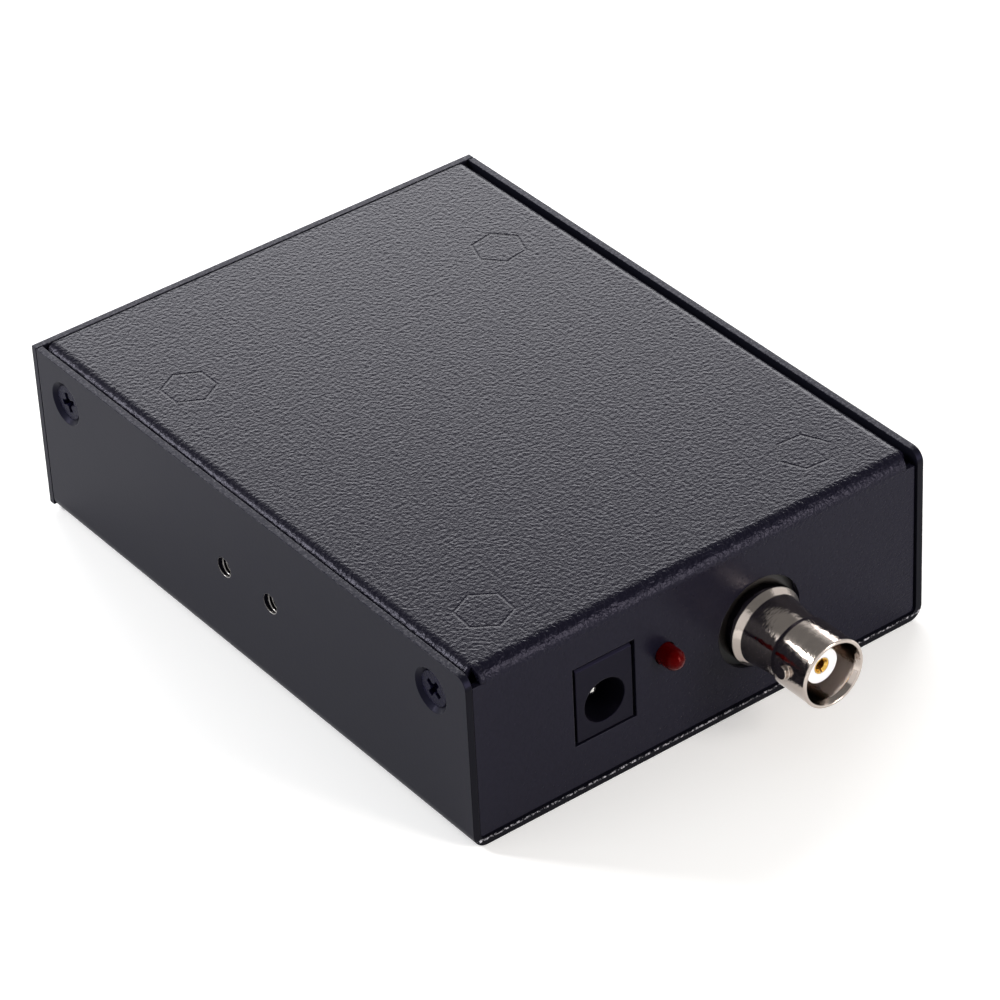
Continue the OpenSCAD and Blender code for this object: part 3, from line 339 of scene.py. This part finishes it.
def smooth_powder_coat(coat):
    """Material of the lower tray."""
    colour = tuple(coat.tray_colour)
    material, tree, shader = new_material(
        "smooth_powder_coat", colour, coat.tray_roughness,
        Specular_IOR_Level=0.086, Specular_Tint=tuple(coat.tray_sheen),
    )
    place = place_mm(tree)
    peel = add(
        tree, "ShaderNodeTexNoise", {"Vector": place, "Scale": 1.6, "Detail": 2.0, "Roughness": 0.45}
    ).outputs["Fac"]
    cloud = add(
        tree, "ShaderNodeTexNoise", {"Vector": place, "Scale": 0.05, "Detail": 3.0}
    ).outputs["Fac"]
    blur = (coat.tray_roughness - 0.03, coat.tray_roughness + 0.03)
    coated = vary(tree, shader, cloud, colour, 0.85, 1.15, blur)
    # Painted shade: the faces at the tray's sheared front edge have their colour mixed to near black
    axes = add(tree, "ShaderNodeSeparateXYZ", {0: place}).outputs
    front = add(
        tree, "ShaderNodeMath", {0: axes["Y"], 1: (TRAY_LOW.y + EDGE_DEPTH) / MM},
        operation="LESS_THAN",
    ).outputs[0]
    coated = add(
        tree, "ShaderNodeMix", {"Factor": front, 6: coated, 7: linear("#08080a")}, data_type="RGBA"
    ).outputs[2]
    # Painted highlights: pale specks mixed into the colour along the front sill's upper edge, and faintly
    # on the walls' rims
    sill_edge = add(
        tree, "ShaderNodeMath", {0: axes["Z"], 1: SHEET / MM, 2: SILL_EDGE_REACH / MM},
        operation="COMPARE",
    ).outputs[0]
    sill = add(tree, "ShaderNodeMath", {0: front, 1: sill_edge}, operation="MULTIPLY").outputs[0]
    rim = add(
        tree, "ShaderNodeMath", {0: axes["Z"], 1: (CASE_TOP - EDGE_DEPTH) / MM},
        operation="GREATER_THAN",
    ).outputs[0]
    faint_rim = add(tree, "ShaderNodeMath", {0: rim, 1: 0.1}, operation="MULTIPLY").outputs[0]
    painted_glint_reach = add(tree, "ShaderNodeMath", {0: sill, 1: faint_rim}, operation="MAXIMUM").outputs[0]
    specks = add(
        tree, "ShaderNodeTexNoise", {"Vector": place, "Scale": 2.6, "Detail": 3.0, "Roughness": 0.7}
    ).outputs["Fac"]
    speck = add(
        tree, "ShaderNodeMapRange", {"Value": specks, "From Min": 0.5, "From Max": 0.62}
    ).outputs["Result"]
    glint = add(tree, "ShaderNodeMath", {0: painted_glint_reach, 1: speck}, operation="MULTIPLY").outputs[0]
    with_painted_glints = add(
        tree, "ShaderNodeMix", {"Factor": glint, 6: coated, 7: linear("#b9b8c0")}, data_type="RGBA"
    ).outputs[2]
    tree.links.new(with_painted_glints, shader.inputs["Base Color"])
    bump(tree, shader, [(peel, 0.012 * MM, 0.5)], coat.coat_edge)
    return material


def leather_grain_powder_coat(coat):
    """Material of the top chassis and of the standoff heads."""
    colour = tuple(coat.grain_colour)
    material, tree, shader = new_material(
        "leather_grain_powder_coat", colour, coat.grain_roughness,
        Specular_IOR_Level=0.12, Specular_Tint=tuple(coat.grain_sheen),
    )
    place = place_mm(tree)
    wrinkle = add(
        tree, "ShaderNodeTexNoise",
        {
            "Vector": place, "Scale": MM / coat.grain_size,
            "Detail": 1.5, "Roughness": 0.5, "Distortion": 0.25,
        },
    ).outputs["Fac"]
    fine = add(
        tree, "ShaderNodeTexNoise", {"Vector": place, "Scale": 3.0, "Detail": 1.5}
    ).outputs["Fac"]
    vary(tree, shader, wrinkle, colour, 0.75, 1.2)
    # The wrinkles lie flatter on the folded-down panel, and stand up in streaks round the bend
    axes = add(tree, "ShaderNodeSeparateXYZ", {0: place}).outputs
    low, high = (CASE_TOP / MM - below for below in WRINKLE_FADE)
    strength = add(
        tree, "ShaderNodeMapRange",
        {"Value": axes["Z"], "From Min": low, "From Max": high, "To Min": coat.panel_share},
    ).outputs["Result"]
    far, near = (CHASSIS_LOW.y / MM + behind for behind in BEND_BEHIND_FACE)
    near_face = add(
        tree, "ShaderNodeMapRange", {"Value": axes["Y"], "From Min": far, "From Max": near}
    ).outputs["Result"]
    low, high = (CASE_TOP / MM - below for below in BEND_BELOW_TOP)
    near_top = add(
        tree, "ShaderNodeMapRange", {"Value": axes["Z"], "From Min": low, "From Max": high}
    ).outputs["Result"]
    bend = add(tree, "ShaderNodeMath", {0: near_face, 1: near_top}, operation="MULTIPLY").outputs[0]
    height = add(
        tree, "ShaderNodeMapRange",
        {"Value": bend, "To Min": coat.grain_height, "To Max": coat.bend_share * coat.grain_height},
    ).outputs["Result"]
    # The coat sinks a little over the hexagonal grooves
    groove = None
    for middle, corners in head_corners():
        reach = head_distance(tree, place, middle, corners)
        if groove is not None:
            reach = add(tree, "ShaderNodeMath", {0: groove, 1: reach}, operation="MINIMUM").outputs[0]
        groove = reach
    sag = add(
        tree, "ShaderNodeMapRange",
        {"Value": groove, "From Min": 0.0, "From Max": coat.groove_width / MM},
        interpolation_type="SMOOTHSTEP",
    ).outputs["Result"]
    layers = [(wrinkle, height, strength), (fine, 0.01 * MM, 1.0), (sag, coat.groove_dip, 1.0)]
    bump(tree, shader, layers, coat.coat_edge)
    return material


def head_corners():
    """Middle and six corners of the top face of each standoff's head, in order round it."""
    vertices = NODES["board_standoffs"].data.vertices
    tops = {tuple(round(c, 6) for c in v.co) for v in vertices if v.co.z > CASE_TOP - 0.01 * MM}
    heads = []
    for side in (-1, 1):
        for end in (-1, 1):
            own = [
                Vector(c) for c in tops
                if (c[0] - BOARD_MIDDLE.x) * side > 0 and (c[1] - BOARD_MIDDLE.y) * end > 0
            ]
            middle = sum(own, Vector()) / len(own)
            reach = max((c - middle).length for c in own)
            own = [c for c in own if (c - middle).length > 0.97 * reach]
            middle = sum(own, Vector()) / len(own)
            own.sort(key=lambda c: math.atan2(c.y - middle.y, c.x - middle.x))
            heads.append((middle, own))
    return heads


def head_distance(tree, place, middle, corners):
    """Output with the distance in millimetres from the middle of the groove round one head."""
    first = corners[0] - middle
    turn = math.atan2(first.y, first.x) + math.pi / 6
    half_flats = first.length * math.cos(math.pi / 6)
    own = add(
        tree, "ShaderNodeMapping", {"Vector": place, "Location": middle / MM, "Rotation": (0, 0, turn)},
        vector_type="TEXTURE",
    ).outputs["Vector"]
    # Folded into one quarter, a hexagon's flats lie across two directions
    folded = add(tree, "ShaderNodeVectorMath", {0: own}, operation="ABSOLUTE").outputs[0]
    side = add(
        tree, "ShaderNodeVectorMath", {0: folded, 1: (1, 0, 0)}, operation="DOT_PRODUCT"
    ).outputs["Value"]
    slant = (math.cos(math.pi / 3), math.sin(math.pi / 3), 0)
    slanted = add(
        tree, "ShaderNodeVectorMath", {0: folded, 1: slant}, operation="DOT_PRODUCT"
    ).outputs["Value"]
    reach = add(tree, "ShaderNodeMath", {0: side, 1: slanted}, operation="MAXIMUM").outputs[0]
    middle_line = (half_flats + HEAD_GROOVE / 2) / MM
    off = add(tree, "ShaderNodeMath", {0: reach, 1: middle_line}, operation="SUBTRACT").outputs[0]
    return add(tree, "ShaderNodeMath", {0: off}, operation="ABSOLUTE").outputs[0]


def groove_coats(dip, steps=8):
    """Strips of coat that bridge the groove round each head, sinking a little in the middle."""
    profile = [(i / steps, -dip * math.sin(math.pi * i / steps) ** 0.8) for i in range(steps + 1)]
    strips = []
    for middle, corners in head_corners():
        for side in zip(corners, corners[1:] + corners[:1]):
            rings = []
            for corner in side:
                out = (corner - middle).normalized() / math.cos(math.pi / 6)
                rings.append([
                    corner + out * HEAD_GROOVE * share + Vector((0, 0, drop)) for share, drop in profile
                ])
            strips.append(loft(rings, closed=False, capped=False))
    return strips


def bend_section(outer, inset, drop):
    """Section of a bend and its wall's start, as pairs outward and upward from the bend's centre."""
    inner = outer - SHEET + inset
    outer -= inset
    turns = [math.radians(7.5 * i) for i in range(13)]
    outside = [(outer, -drop)] + [(outer * math.cos(a), outer * math.sin(a)) for a in turns]
    inside = [(inner * math.cos(a), inner * math.sin(a)) for a in reversed(turns)] + [(inner, -drop)]
    return outside + inside


def corner_bends(reach=0.8 * MM, round_off=0.15 * MM):
    """Ends of the chassis' bends, which run on a little into its two front corners."""
    flat = CHASSIS_HIGH.x - FLANGE_BEND
    front = CHASSIS_LOW.y + PANEL_BEND
    panel_rings, flange_rings = [], []
    for along, inset in ((0.0, 0.0), (reach - round_off, 0.0), (reach, round_off)):
        panel_rings.append([
            (flat - CORNER_RELIEF / 2 + along, front - out, CASE_TOP - PANEL_BEND + up)
            for out, up in bend_section(PANEL_BEND, inset, 0.05 * MM)
        ])
        flange_rings.append([
            (flat + out, front + CORNER_RELIEF - along, CASE_TOP - FLANGE_BEND + up)
            for out, up in bend_section(FLANGE_BEND, inset, 0.7 * MM)
        ])
    return [
        loft([[Vector((side * x, y, z)) for x, y, z in ring] for ring in rings])
        for side in (-1, 1) for rings in (panel_rings, flange_rings)
    ]


# Screws and the tapped side holes


class ConverterScrews(bpy.types.Operator):
    """Case screws, board screws and the threads of the side holes"""

    bl_idname = "converter.screws"
    bl_label = "Screws and threads"

    def execute(self, context):
        metal = settings()[1]
        # Black zinc on cold-headed steel: a dark, slightly glossy, uneven skin
        colour = tuple(metal.screw_black)
        material, tree, shader = new_material(
            "black_zinc_plate", colour, 0.24,
            Specular_IOR_Level=0.045, Specular_Tint=linear("#b8b2ee"),
        )
        marks = add(
            tree, "ShaderNodeTexNoise", {"Vector": place_mm(tree), "Scale": 2.0, "Detail": 3.0}
        ).outputs["Fac"]
        vary(tree, shader, marks, colour, 0.7, 1.4, (0.18, 0.34))
        bump(tree, shader, [(marks, 0.05 * MM, 1.0)], 0.2 * MM)
        dress(material, "case_screws")
        # Clear zinc on the board screws: bright with a faint blue-grey cloud
        clear = plated(
            "clear_zinc_plate", linear("#b9bdc2"), 0.28, (0.2, 0.38), (0.8, 1.1),
            scale=1.5, detail=2.0, height=0.01, strength=0.3, edge=0.08,
        )
        dress(clear, "board_screws")
        # Freshly cut steel: bright turns where the tap took the coat off
        cut = plated(
            "cut_steel", linear("#8f8c8a"), 0.24, (0.18, 0.4), (0.55, 1.0),
            scale=5.0, detail=2.0, height=0.01, strength=0.5,
        )
        turns, burrs = [], []
        for side in (-1, 1):
            mouth = Vector((TRAY_LOW.x, SIDE_HOLES_Y + side * SIDE_HOLES_SPACING / 2, SIDE_HOLES_Z))
            turns.append(thread(
                mouth, (1, 0, 0), 0.06 * MM, SIDE_HOLE_DEPTH, SIDE_HOLE_RADIUS,
                SIDE_HOLE_RADIUS - metal.thread_depth, metal.thread_pitch,
            ))
            burrs.append(burr_ring(mouth, SIDE_HOLE_RADIUS))
        piece("side_hole_threads", join(turns), cut)
        piece("side_hole_burrs", join(burrs), cut)
        return {"FINISHED"}


def plated(name, colour, roughness, blur, shades, scale, detail, height, strength, edge=0.0):
    """Metal clouded by one noise. Scale is per millimetre, height and edge are in millimetres."""
    material, tree, shader = new_material(name, colour, roughness, 1.0)
    marks = add(
        tree, "ShaderNodeTexNoise", {"Vector": place_mm(tree), "Scale": scale, "Detail": detail}
    ).outputs["Fac"]
    vary(tree, shader, marks, colour, *shades, blur)
    bump(tree, shader, [(marks, height * MM, strength)], edge * MM)
    return material


def thread(centre, axis, start, stop, wall, crest, pitch, steps=40):
    """Helical ridge on a round wall from start to stop along an axis, tapering at its ends."""
    axis = Vector(axis).normalized()
    side = axis.orthogonal().normalized()
    other = axis.cross(side)
    turns = (stop - start - pitch) / pitch
    total = max(2, int(turns * steps))
    half, flat = pitch * 0.44, pitch * 0.07
    rings = []
    for i in range(total + 1):
        share = i / total
        angle = math.tau * turns * share
        out = side * math.cos(angle) + other * math.sin(angle)
        middle = Vector(centre) + axis * (start + pitch / 2 + (stop - start - pitch) * share)
        fade = min(1.0, share * total / (steps / 3), (1 - share) * total / (steps / 3))
        top = wall + (crest - wall) * max(0.04, fade)
        rings.append([
            middle - axis * half + out * wall, middle - axis * flat + out * top,
            middle + axis * flat + out * top, middle + axis * half + out * wall,
        ])
    return loft(rings)


def burr_ring(centre, radius, steps=48):
    """Thin bright lip round a tapped hole's mouth, thickest at its lower edge."""
    rings = []
    for i in range(steps):
        angle = math.tau * i / steps
        out = Vector((0, math.cos(angle), math.sin(angle)))
        low = max(0.0, -math.sin(angle + 0.25))
        wide = (0.02 + 0.14 * low**1.5) * MM
        deep = (0.05 + 0.2 * low**1.5) * MM
        rim = centre + out * radius
        rings.append([
            rim, rim - out * wide,
            rim - out * wide * 0.6 + Vector((deep, 0, 0)), rim + Vector((deep * 1.3, 0, 0)),
        ])
    rings.append(rings[0])
    return loft(rings, capped=False)


# Bayonet socket


class ConverterSocket(bpy.types.Operator):
    """Bayonet socket: nickel shell, insulator, gold contact, housing and ground posts"""

    bl_idname = "converter.socket"
    bl_label = "Bayonet socket"

    def execute(self, context):
        metal, plastic = settings()[1:3]
        # Bright nickel over turned brass: warm grey mirror with fine lathe rings
        colour = tuple(metal.nickel)
        material, tree, shader = new_material("bright_nickel_plate", colour, 0.16, 1.0)
        place = place_mm(tree)
        rings = add(
            tree, "ShaderNodeMapping", {"Vector": place, "Scale": (0.5, 8.0, 0.5)}
        ).outputs["Vector"]
        lathe = add(tree, "ShaderNodeTexNoise", {"Vector": rings, "Scale": 1.0, "Detail": 3.0})
        stain = add(tree, "ShaderNodeTexNoise", {"Vector": place, "Scale": 0.45, "Detail": 3.0})
        dents = add(tree, "ShaderNodeTexNoise", {"Vector": place, "Scale": 1.4, "Detail": 2.0})
        vary(tree, shader, stain.outputs["Fac"], colour, 0.82, 1.08, (0.05, 0.15))
        layers = [(lathe.outputs["Fac"], 0.008 * MM, 1.0), (dents.outputs["Fac"], 0.03 * MM, 1.0)]
        bump(tree, shader, layers, 0.2 * MM)
        dress(material, "bnc_shell")
        # PTFE, pressed and machined: waxy white, light goes a little way in
        colour = tuple(plastic.insulator_white)
        material, tree, shader = new_material(
            "machined_ptfe", colour, 0.38, IOR=1.38, Subsurface_Weight=0.3,
            Subsurface_Radius=(1.2 * MM, 1.0 * MM, 0.8 * MM), Subsurface_Scale=0.5,
        )
        marks = add(
            tree, "ShaderNodeTexNoise", {"Vector": place_mm(tree), "Scale": 2.0, "Detail": 2.0}
        ).outputs["Fac"]
        vary(tree, shader, marks, colour, 0.9, 1.02)
        bump(tree, shader, [(marks, 0.015 * MM, 0.4)], 0.1 * MM)
        dress(material, "bnc_insulator")
        # Thin gold over nickel, on stamped and turned copper alloy: warm yellow mirror
        gold = plated(
            "thin_gold_plate", tuple(metal.gold), 0.22, (0.15, 0.3), (0.85, 1.05),
            scale=4.0, detail=2.0, height=0.008, strength=0.4, edge=0.06,
        )
        dress(gold, "bnc_centre_contact", "outlet_contacts", "jack_sleeve_spring")
        # Polyester moulding of the socket's housing: black with a fine spark-eroded texture
        dress(moulded("moulded_polyester", linear("#0c0c0e"), 0.55), "bnc_housing", "reservoir_bases")
        # Bright tin over stamped brass or steel: pale grey, slightly clouded
        tin = plated(
            "bright_tin_plate", tuple(metal.tin), 0.3, (0.22, 0.42), (0.78, 1.05),
            scale=2.5, detail=3.0, height=0.008, strength=0.4, edge=0.05,
        )
        dress(
            tin, "bnc_ground_posts", "jack_pin_terminal", "jack_switch_contact", "led_leads",
            "outlet_shell",
        )
        return {"FINISHED"}


def moulded(name, colour, roughness, grit=5.0, edge=0.12, shine=0.45, tint=WHITE):
    """Moulded or pressed body: even colour, fine grain at grit waves per millimetre."""
    material, tree, shader = new_material(
        name, colour, roughness, IOR=1.54, Specular_IOR_Level=shine, Specular_Tint=tint
    )
    grain = add(
        tree, "ShaderNodeTexNoise", {"Vector": place_mm(tree), "Scale": grit, "Detail": 2.0}
    ).outputs["Fac"]
    vary(tree, shader, grain, colour, 0.85, 1.15, (roughness - 0.05, roughness + 0.05))
    bump(tree, shader, [(grain, 0.015 * MM, 0.4)], edge * MM)
    return material


# Power jack and indicator


class ConverterJack(bpy.types.Operator):
    """Power jack: moulded body and nickel centre pin"""

    bl_idname = "converter.jack"
    bl_label = "Power jack"

    def execute(self, context):
        black = tuple(settings()[2].jack_black)
        # Glass-filled polyester of the jack: satin black with a fine grain
        body = moulded("jack_polyester", black, 0.4, edge=0.2, shine=0.1, tint=linear("#b4aef0"))
        dress(body, "jack_body", "outlet_tongue")
        # Nickel on the turned pin: small bright mirror
        pin = plated(
            "nickel_pin_plate", linear("#dcdad6"), 0.2, (0.15, 0.28), (0.85, 1.05),
            scale=3.0, detail=2.0, height=0.006, strength=0.4,
        )
        dress(pin, "jack_centre_pin")
        return {"FINISHED"}


class ConverterIndicator(bpy.types.Operator):
    """Indicator: tinted lens with its reflector cup, posts and bond wire inside"""

    bl_idname = "converter.indicator"
    bl_label = "Indicator"

    def execute(self, context):
        # Red diffused epoxy, cast: deep red, glossy, some light passes through
        colour = tuple(settings()[2].lens_red)
        material, tree, shader = new_material(
            "cast_red_epoxy", colour, 0.07, IOR=1.53, Transmission_Weight=0.3,
            Specular_IOR_Level=0.05, Specular_Tint=linear("#c8504a"),
        )
        haze = add(
            tree, "ShaderNodeTexNoise", {"Vector": place_mm(tree), "Scale": 1.2, "Detail": 2.0}
        ).outputs["Fac"]
        vary(tree, shader, haze, colour, 0.8, 1.1, (0.05, 0.12))
        bump(tree, shader, [(haze, 0.004 * MM, 0.3)])
        dress(material, "led_lens")
        # Silver-plated steel inside the tinted epoxy, its colour darkened as painted shade for the dim
        # inside of the lens
        colour = linear("#5d5856")
        inner, tree, shader = new_material("silver_plate_painted_dark", colour, 0.45, 1.0)
        marks = add(
            tree, "ShaderNodeTexNoise", {"Vector": place_mm(tree), "Scale": 4.0, "Detail": 2.0}
        ).outputs["Fac"]
        vary(tree, shader, marks, colour, 0.8, 1.1, (0.38, 0.52))
        cup_face = LENS_LOW.y + 2.3 * MM
        parts = [
            lead_post(LENS_MIDDLE.x - 0.45 * MM, 0.55 * MM, cup_face),
            lead_post(LENS_MIDDLE.x + 0.75 * MM, 0.25 * MM, cup_face + 0.35 * MM),
            reflector_cup(cup_face),
            bond_wire(cup_face),
        ]
        piece("indicator_lead_frame", join(parts), inner, smooth=False)
        return {"FINISHED"}


def lead_post(middle, half_width, front):
    """Stamped post inside the lens, wider at its head."""
    back = LENS_HIGH.y - 0.1 * MM
    half_height = 0.28 * MM
    stations = (
        (back, 0.75), (back - 0.6 * MM, 0.75), (back - 1.0 * MM, 1.0),
        (front + 0.25 * MM, 1.0), (front, 0.85),
    )
    return loft([
        [
            Vector((middle + a * half_width * grow, y, LENS_MIDDLE.z + b * half_height))
            for a, b in ((-1, -1), (1, -1), (1, 1), (-1, 1))
        ]
        for y, grow in stations
    ])


def reflector_cup(face):
    """Round cup stamped in the wider post's head. Radii and depths are in millimetres."""
    profile = ((0.62, 0.3), (0.66, -0.02), (0.56, -0.05), (0.3, 0.22), (0.01, 0.22))
    x = LENS_MIDDLE.x - 0.35 * MM
    return loft([
        ring_points((x, face + depth * MM, LENS_MIDDLE.z), radius * MM, 28) for radius, depth in profile
    ])


def bond_wire(face, steps=12):
    """Fine wire that arches from the cup to the narrower post."""
    rings = []
    for i in range(steps + 1):
        share = i / steps
        arch = 0.2 - 0.75 * math.sin(math.pi * share) + 0.12 * share
        centre = (LENS_MIDDLE.x + (share - 0.3) * MM, face + arch * MM, LENS_MIDDLE.z)
        rings.append(ring_points(centre, 0.04 * MM, 8, "X"))
    return loft(rings)


# Circuit board


class ConverterBoard(bpy.types.Operator):
    """Circuit board and the parts on it"""

    bl_idname = "converter.board"
    bl_label = "Circuit board"

    def execute(self, context):
        # Glass-epoxy laminate under green solder mask: glossy, traces show as paler green lines
        colour = tuple(settings()[2].mask_green)
        material, tree, shader = new_material("solder_masked_laminate", colour, 0.3, Coat_Weight=0.4)
        place = place_mm(tree)
        traces = add(
            tree, "ShaderNodeTexBrick",
            {
                "Vector": place, "Scale": 1.0, "Mortar Size": 0.09, "Brick Width": 3.1, "Row Height": 1.05,
                "Color1": linear("#0c4a25"), "Color2": linear("#0f572b"), "Mortar": linear("#1d7a40"),
            },
            offset=0.4, squash=1.6,
        )
        tree.links.new(traces.outputs["Color"], shader.inputs["Base Color"])
        weave = add(tree, "ShaderNodeTexWave", {"Vector": place, "Scale": 1.3, "Distortion": 0.4})
        layers = [(traces.outputs["Fac"], 0.03 * MM, 0.5), (weave.outputs["Fac"], 0.01 * MM, 0.3)]
        bump(tree, shader, layers, 0.05 * MM)
        dress(material, "circuit_board")
        # Transfer-moulded epoxy of chips: matt charcoal with a fine blasted grain
        dress(
            moulded("moulded_epoxy", linear("#1b1b1d"), 0.6, 8.0, 0.06),
            "video_processor", "output_transmitter", "cable_equaliser", "configuration_memory",
            "buck_regulator", "core_regulators", "polarity_diode", "chip_resistors",
        )
        # Pressed ferrite: dark grey, dull, faintly sugary
        dress(moulded("pressed_ferrite", linear("#3a3a3d"), 0.7, 3.0, 0.2), "power_inductor")
        # Polymer fuse: green-coated laminate, satin and even
        dress(moulded("coated_polymer", linear("#2f6a3c"), 0.5, 3.0, 0.05), "resettable_fuse")
        # Fired barium titanate: warm tan, very fine grain
        dress(moulded("fired_ceramic", linear("#927455"), 0.55, 6.0, 0.04), "ceramic_capacitors")
        # Drawn aluminium cans: pale, fine drawing lines up the side
        colour = linear("#cdcdd0")
        material, tree, shader = new_material("drawn_aluminium", colour, 0.32, 1.0)
        lines = add(
            tree, "ShaderNodeMapping", {"Vector": place_mm(tree), "Scale": (7.0, 7.0, 0.3)}
        ).outputs["Vector"]
        drawn = add(
            tree, "ShaderNodeTexNoise", {"Vector": lines, "Scale": 1.0, "Detail": 2.0}
        ).outputs["Fac"]
        vary(tree, shader, drawn, colour, 0.85, 1.05, (0.25, 0.4))
        bump(tree, shader, [(drawn, 0.006 * MM, 0.4)], 0.08 * MM)
        dress(material, "reservoir_cans", "crystal")
        return {"FINISHED"}


# Stage


class ConverterStage(bpy.types.Operator):
    """Floor, soft lights, white surroundings and the camera"""

    bl_idname = "converter.stage"
    bl_label = "Stage"

    def execute(self, context):
        scene, stage = context.scene, settings()[3]
        scene.view_settings.view_transform = "Standard"
        white_floor(scene, stage)
        white_room(scene, stage)
        area_light("key_light", stage.key, place=(0.5, 0.7, 0.38), size=(0.9, 0.34))
        area_light("fill_light", stage.fill, place=(-0.7, 0.15, 0.35), size=(0.5, 0.5))
        area_light(
            "glint_light", stage.glint, place=(0.27, -0.64, 0.22), size=(0.2, 0.5), colour="#fff9f2"
        )
        area_light("window_light", stage.window, place=(-0.42, 0.52, 0.42), size=(0.16, 0.24))
        place_camera(scene, stage)
        return {"FINISHED"}


def seen_directly(tree):
    """Output that is 1 for camera, glossy and transmission rays."""
    path = add(tree, "ShaderNodeLightPath").outputs
    seen = path["Is Camera Ray"]
    for kind in ("Is Glossy Ray", "Is Transmission Ray"):
        seen = add(tree, "ShaderNodeMath", {0: seen, 1: path[kind]}, operation="MAXIMUM").outputs[0]
    return seen


def white_floor(scene, stage, half=3.0):
    """Floor under the object, half its width given in metres."""
    # Matt white card: flat and even, it takes the object's soft shadow
    material = bpy.data.materials.new("white_card")
    material.use_nodes = True
    tree = material.node_tree
    tree.nodes.clear()
    seen = seen_directly(tree)
    colour = add(
        tree, "ShaderNodeMix", {"Factor": seen, 6: tuple(stage.floor_colour), 7: WHITE},
        data_type="RGBA",
    ).outputs[2]
    card = add(tree, "ShaderNodeBsdfDiffuse", {"Color": colour}).outputs[0]
    lift = add(tree, "ShaderNodeEmission", {"Color": WHITE, "Strength": stage.floor_lift}).outputs[0]
    none = add(tree, "ShaderNodeEmission", {"Strength": 0.0}).outputs[0]
    extra = add(tree, "ShaderNodeMixShader", {0: seen, 1: none, 2: lift}).outputs[0]
    both = add(tree, "ShaderNodeAddShader", {0: card, 1: extra}).outputs[0]
    add(tree, "ShaderNodeOutputMaterial", {"Surface": both})
    mesh = bpy.data.meshes.new("floor")
    corners = [(-half, -half, 0), (half, -half, 0), (half, half, 0), (-half, half, 0)]
    mesh.from_pydata(corners, [], [(0, 1, 2, 3)])
    mesh.materials.append(material)
    floor = bpy.data.objects.new("floor", mesh)
    floor.location = (0, 0, -0.02 * MM)
    scene.collection.objects.link(floor)


def white_room(scene, stage):
    """White up to a dim ceiling where it is seen directly, and an even soft light for the rest."""
    world = bpy.data.worlds.new("white_room")
    scene.world = world
    world.use_nodes = True
    tree = world.node_tree
    tree.nodes.clear()
    way = add(tree, "ShaderNodeSeparateXYZ", {0: add(tree, "ShaderNodeTexCoord").outputs["Generated"]})
    low, high = CEILING_FADE
    room = add(
        tree, "ShaderNodeMapRange",
        {
            "Value": way.outputs["Z"], "From Min": low, "From Max": high,
            "To Min": 1.0, "To Max": stage.ceiling,
        },
        interpolation_type="SMOOTHSTEP",
    ).outputs["Result"]
    strength = add(
        tree, "ShaderNodeMix", {"Factor": seen_directly(tree), 2: stage.sky, 3: room}, data_type="FLOAT"
    ).outputs[0]
    sky = add(tree, "ShaderNodeBackground", {"Color": WHITE, "Strength": strength}).outputs[0]
    add(tree, "ShaderNodeOutputWorld", {"Surface": sky})


def area_light(name, power, place, size, colour="#ffffff"):
    """Soft rectangular light at a place in metres, looking at the case."""
    lamp = bpy.data.lights.new(name, "AREA")
    lamp.shape = "RECTANGLE"
    lamp.size, lamp.size_y = size
    lamp.energy = power
    lamp.color = linear(colour)[:3]
    made = bpy.data.objects.new(name, lamp)
    made.location = place
    made.rotation_mode = "QUATERNION"
    made.rotation_quaternion = (CASE_MIDDLE - Vector(place)).to_track_quat("-Z", "Y")
    bpy.context.scene.collection.objects.link(made)


def place_camera(scene, stage):
    """Camera with the photograph's angle, distance and lens."""
    data = bpy.data.cameras.new("camera")
    data.lens = stage.focal_length
    data.sensor_width = 36.0
    data.clip_start, data.clip_end = 0.01, 20.0
    azimuth, elevation, roll = (math.radians(v) for v in (stage.azimuth, stage.elevation, stage.roll))
    level = math.cos(elevation)
    back = Vector((math.sin(azimuth) * level, -math.cos(azimuth) * level, math.sin(elevation)))
    right = Vector((0, 0, 1)).cross(back).normalized()
    down = right.cross(back)
    # Rows: the view's right, down and forward directions
    turn = Matrix(((math.cos(roll), -math.sin(roll), 0), (math.sin(roll), math.cos(roll), 0), (0, 0, 1)))
    rows = turn @ Matrix((right, down, -back))
    place = -(rows.transposed() @ Vector(stage.target))
    axes = Matrix((rows[0], -rows[1], -rows[2])).transposed()
    made = bpy.data.objects.new("camera", data)
    made.matrix_world = Matrix.Translation(place) @ axes.to_4x4()
    scene.collection.objects.link(made)
    scene.camera = made


OPERATORS = (
    ConverterCoats, ConverterScrews, ConverterSocket, ConverterJack, ConverterIndicator, ConverterBoard,
    ConverterStage,
)


class ConverterPanel(bpy.types.Panel):
    """Lists the converter's finishing steps"""

    bl_idname = "VIEW3D_PT_converter"
    bl_label = "Converter"
    bl_space_type = "VIEW_3D"
    bl_region_type = "UI"
    bl_category = "Converter"

    def draw(self, context):
        for kind in OPERATORS:
            self.layout.operator(kind.bl_idname)
        for group, name in GROUPS.items():
            values = getattr(context.scene, name)
            box = self.layout.box()
            for setting in group.__annotations__:
                box.prop(values, setting)


def register():
    for kind in (*GROUPS, *OPERATORS, ConverterPanel):
        bpy.utils.register_class(kind)
    for group, name in GROUPS.items():
        setattr(bpy.types.Scene, name, PointerProperty(type=group))


def unregister():
    for name in GROUPS.values():
        delattr(bpy.types.Scene, name)
    for kind in reversed((*GROUPS, *OPERATORS, ConverterPanel)):
        bpy.utils.unregister_class(kind)


def main():
    register()
    for kind in OPERATORS:
        group, name = kind.bl_idname.split(".")
        getattr(getattr(bpy.ops, group), name)()
    bpy.context.view_layer.update()


if __name__ == "__main__":
    main()
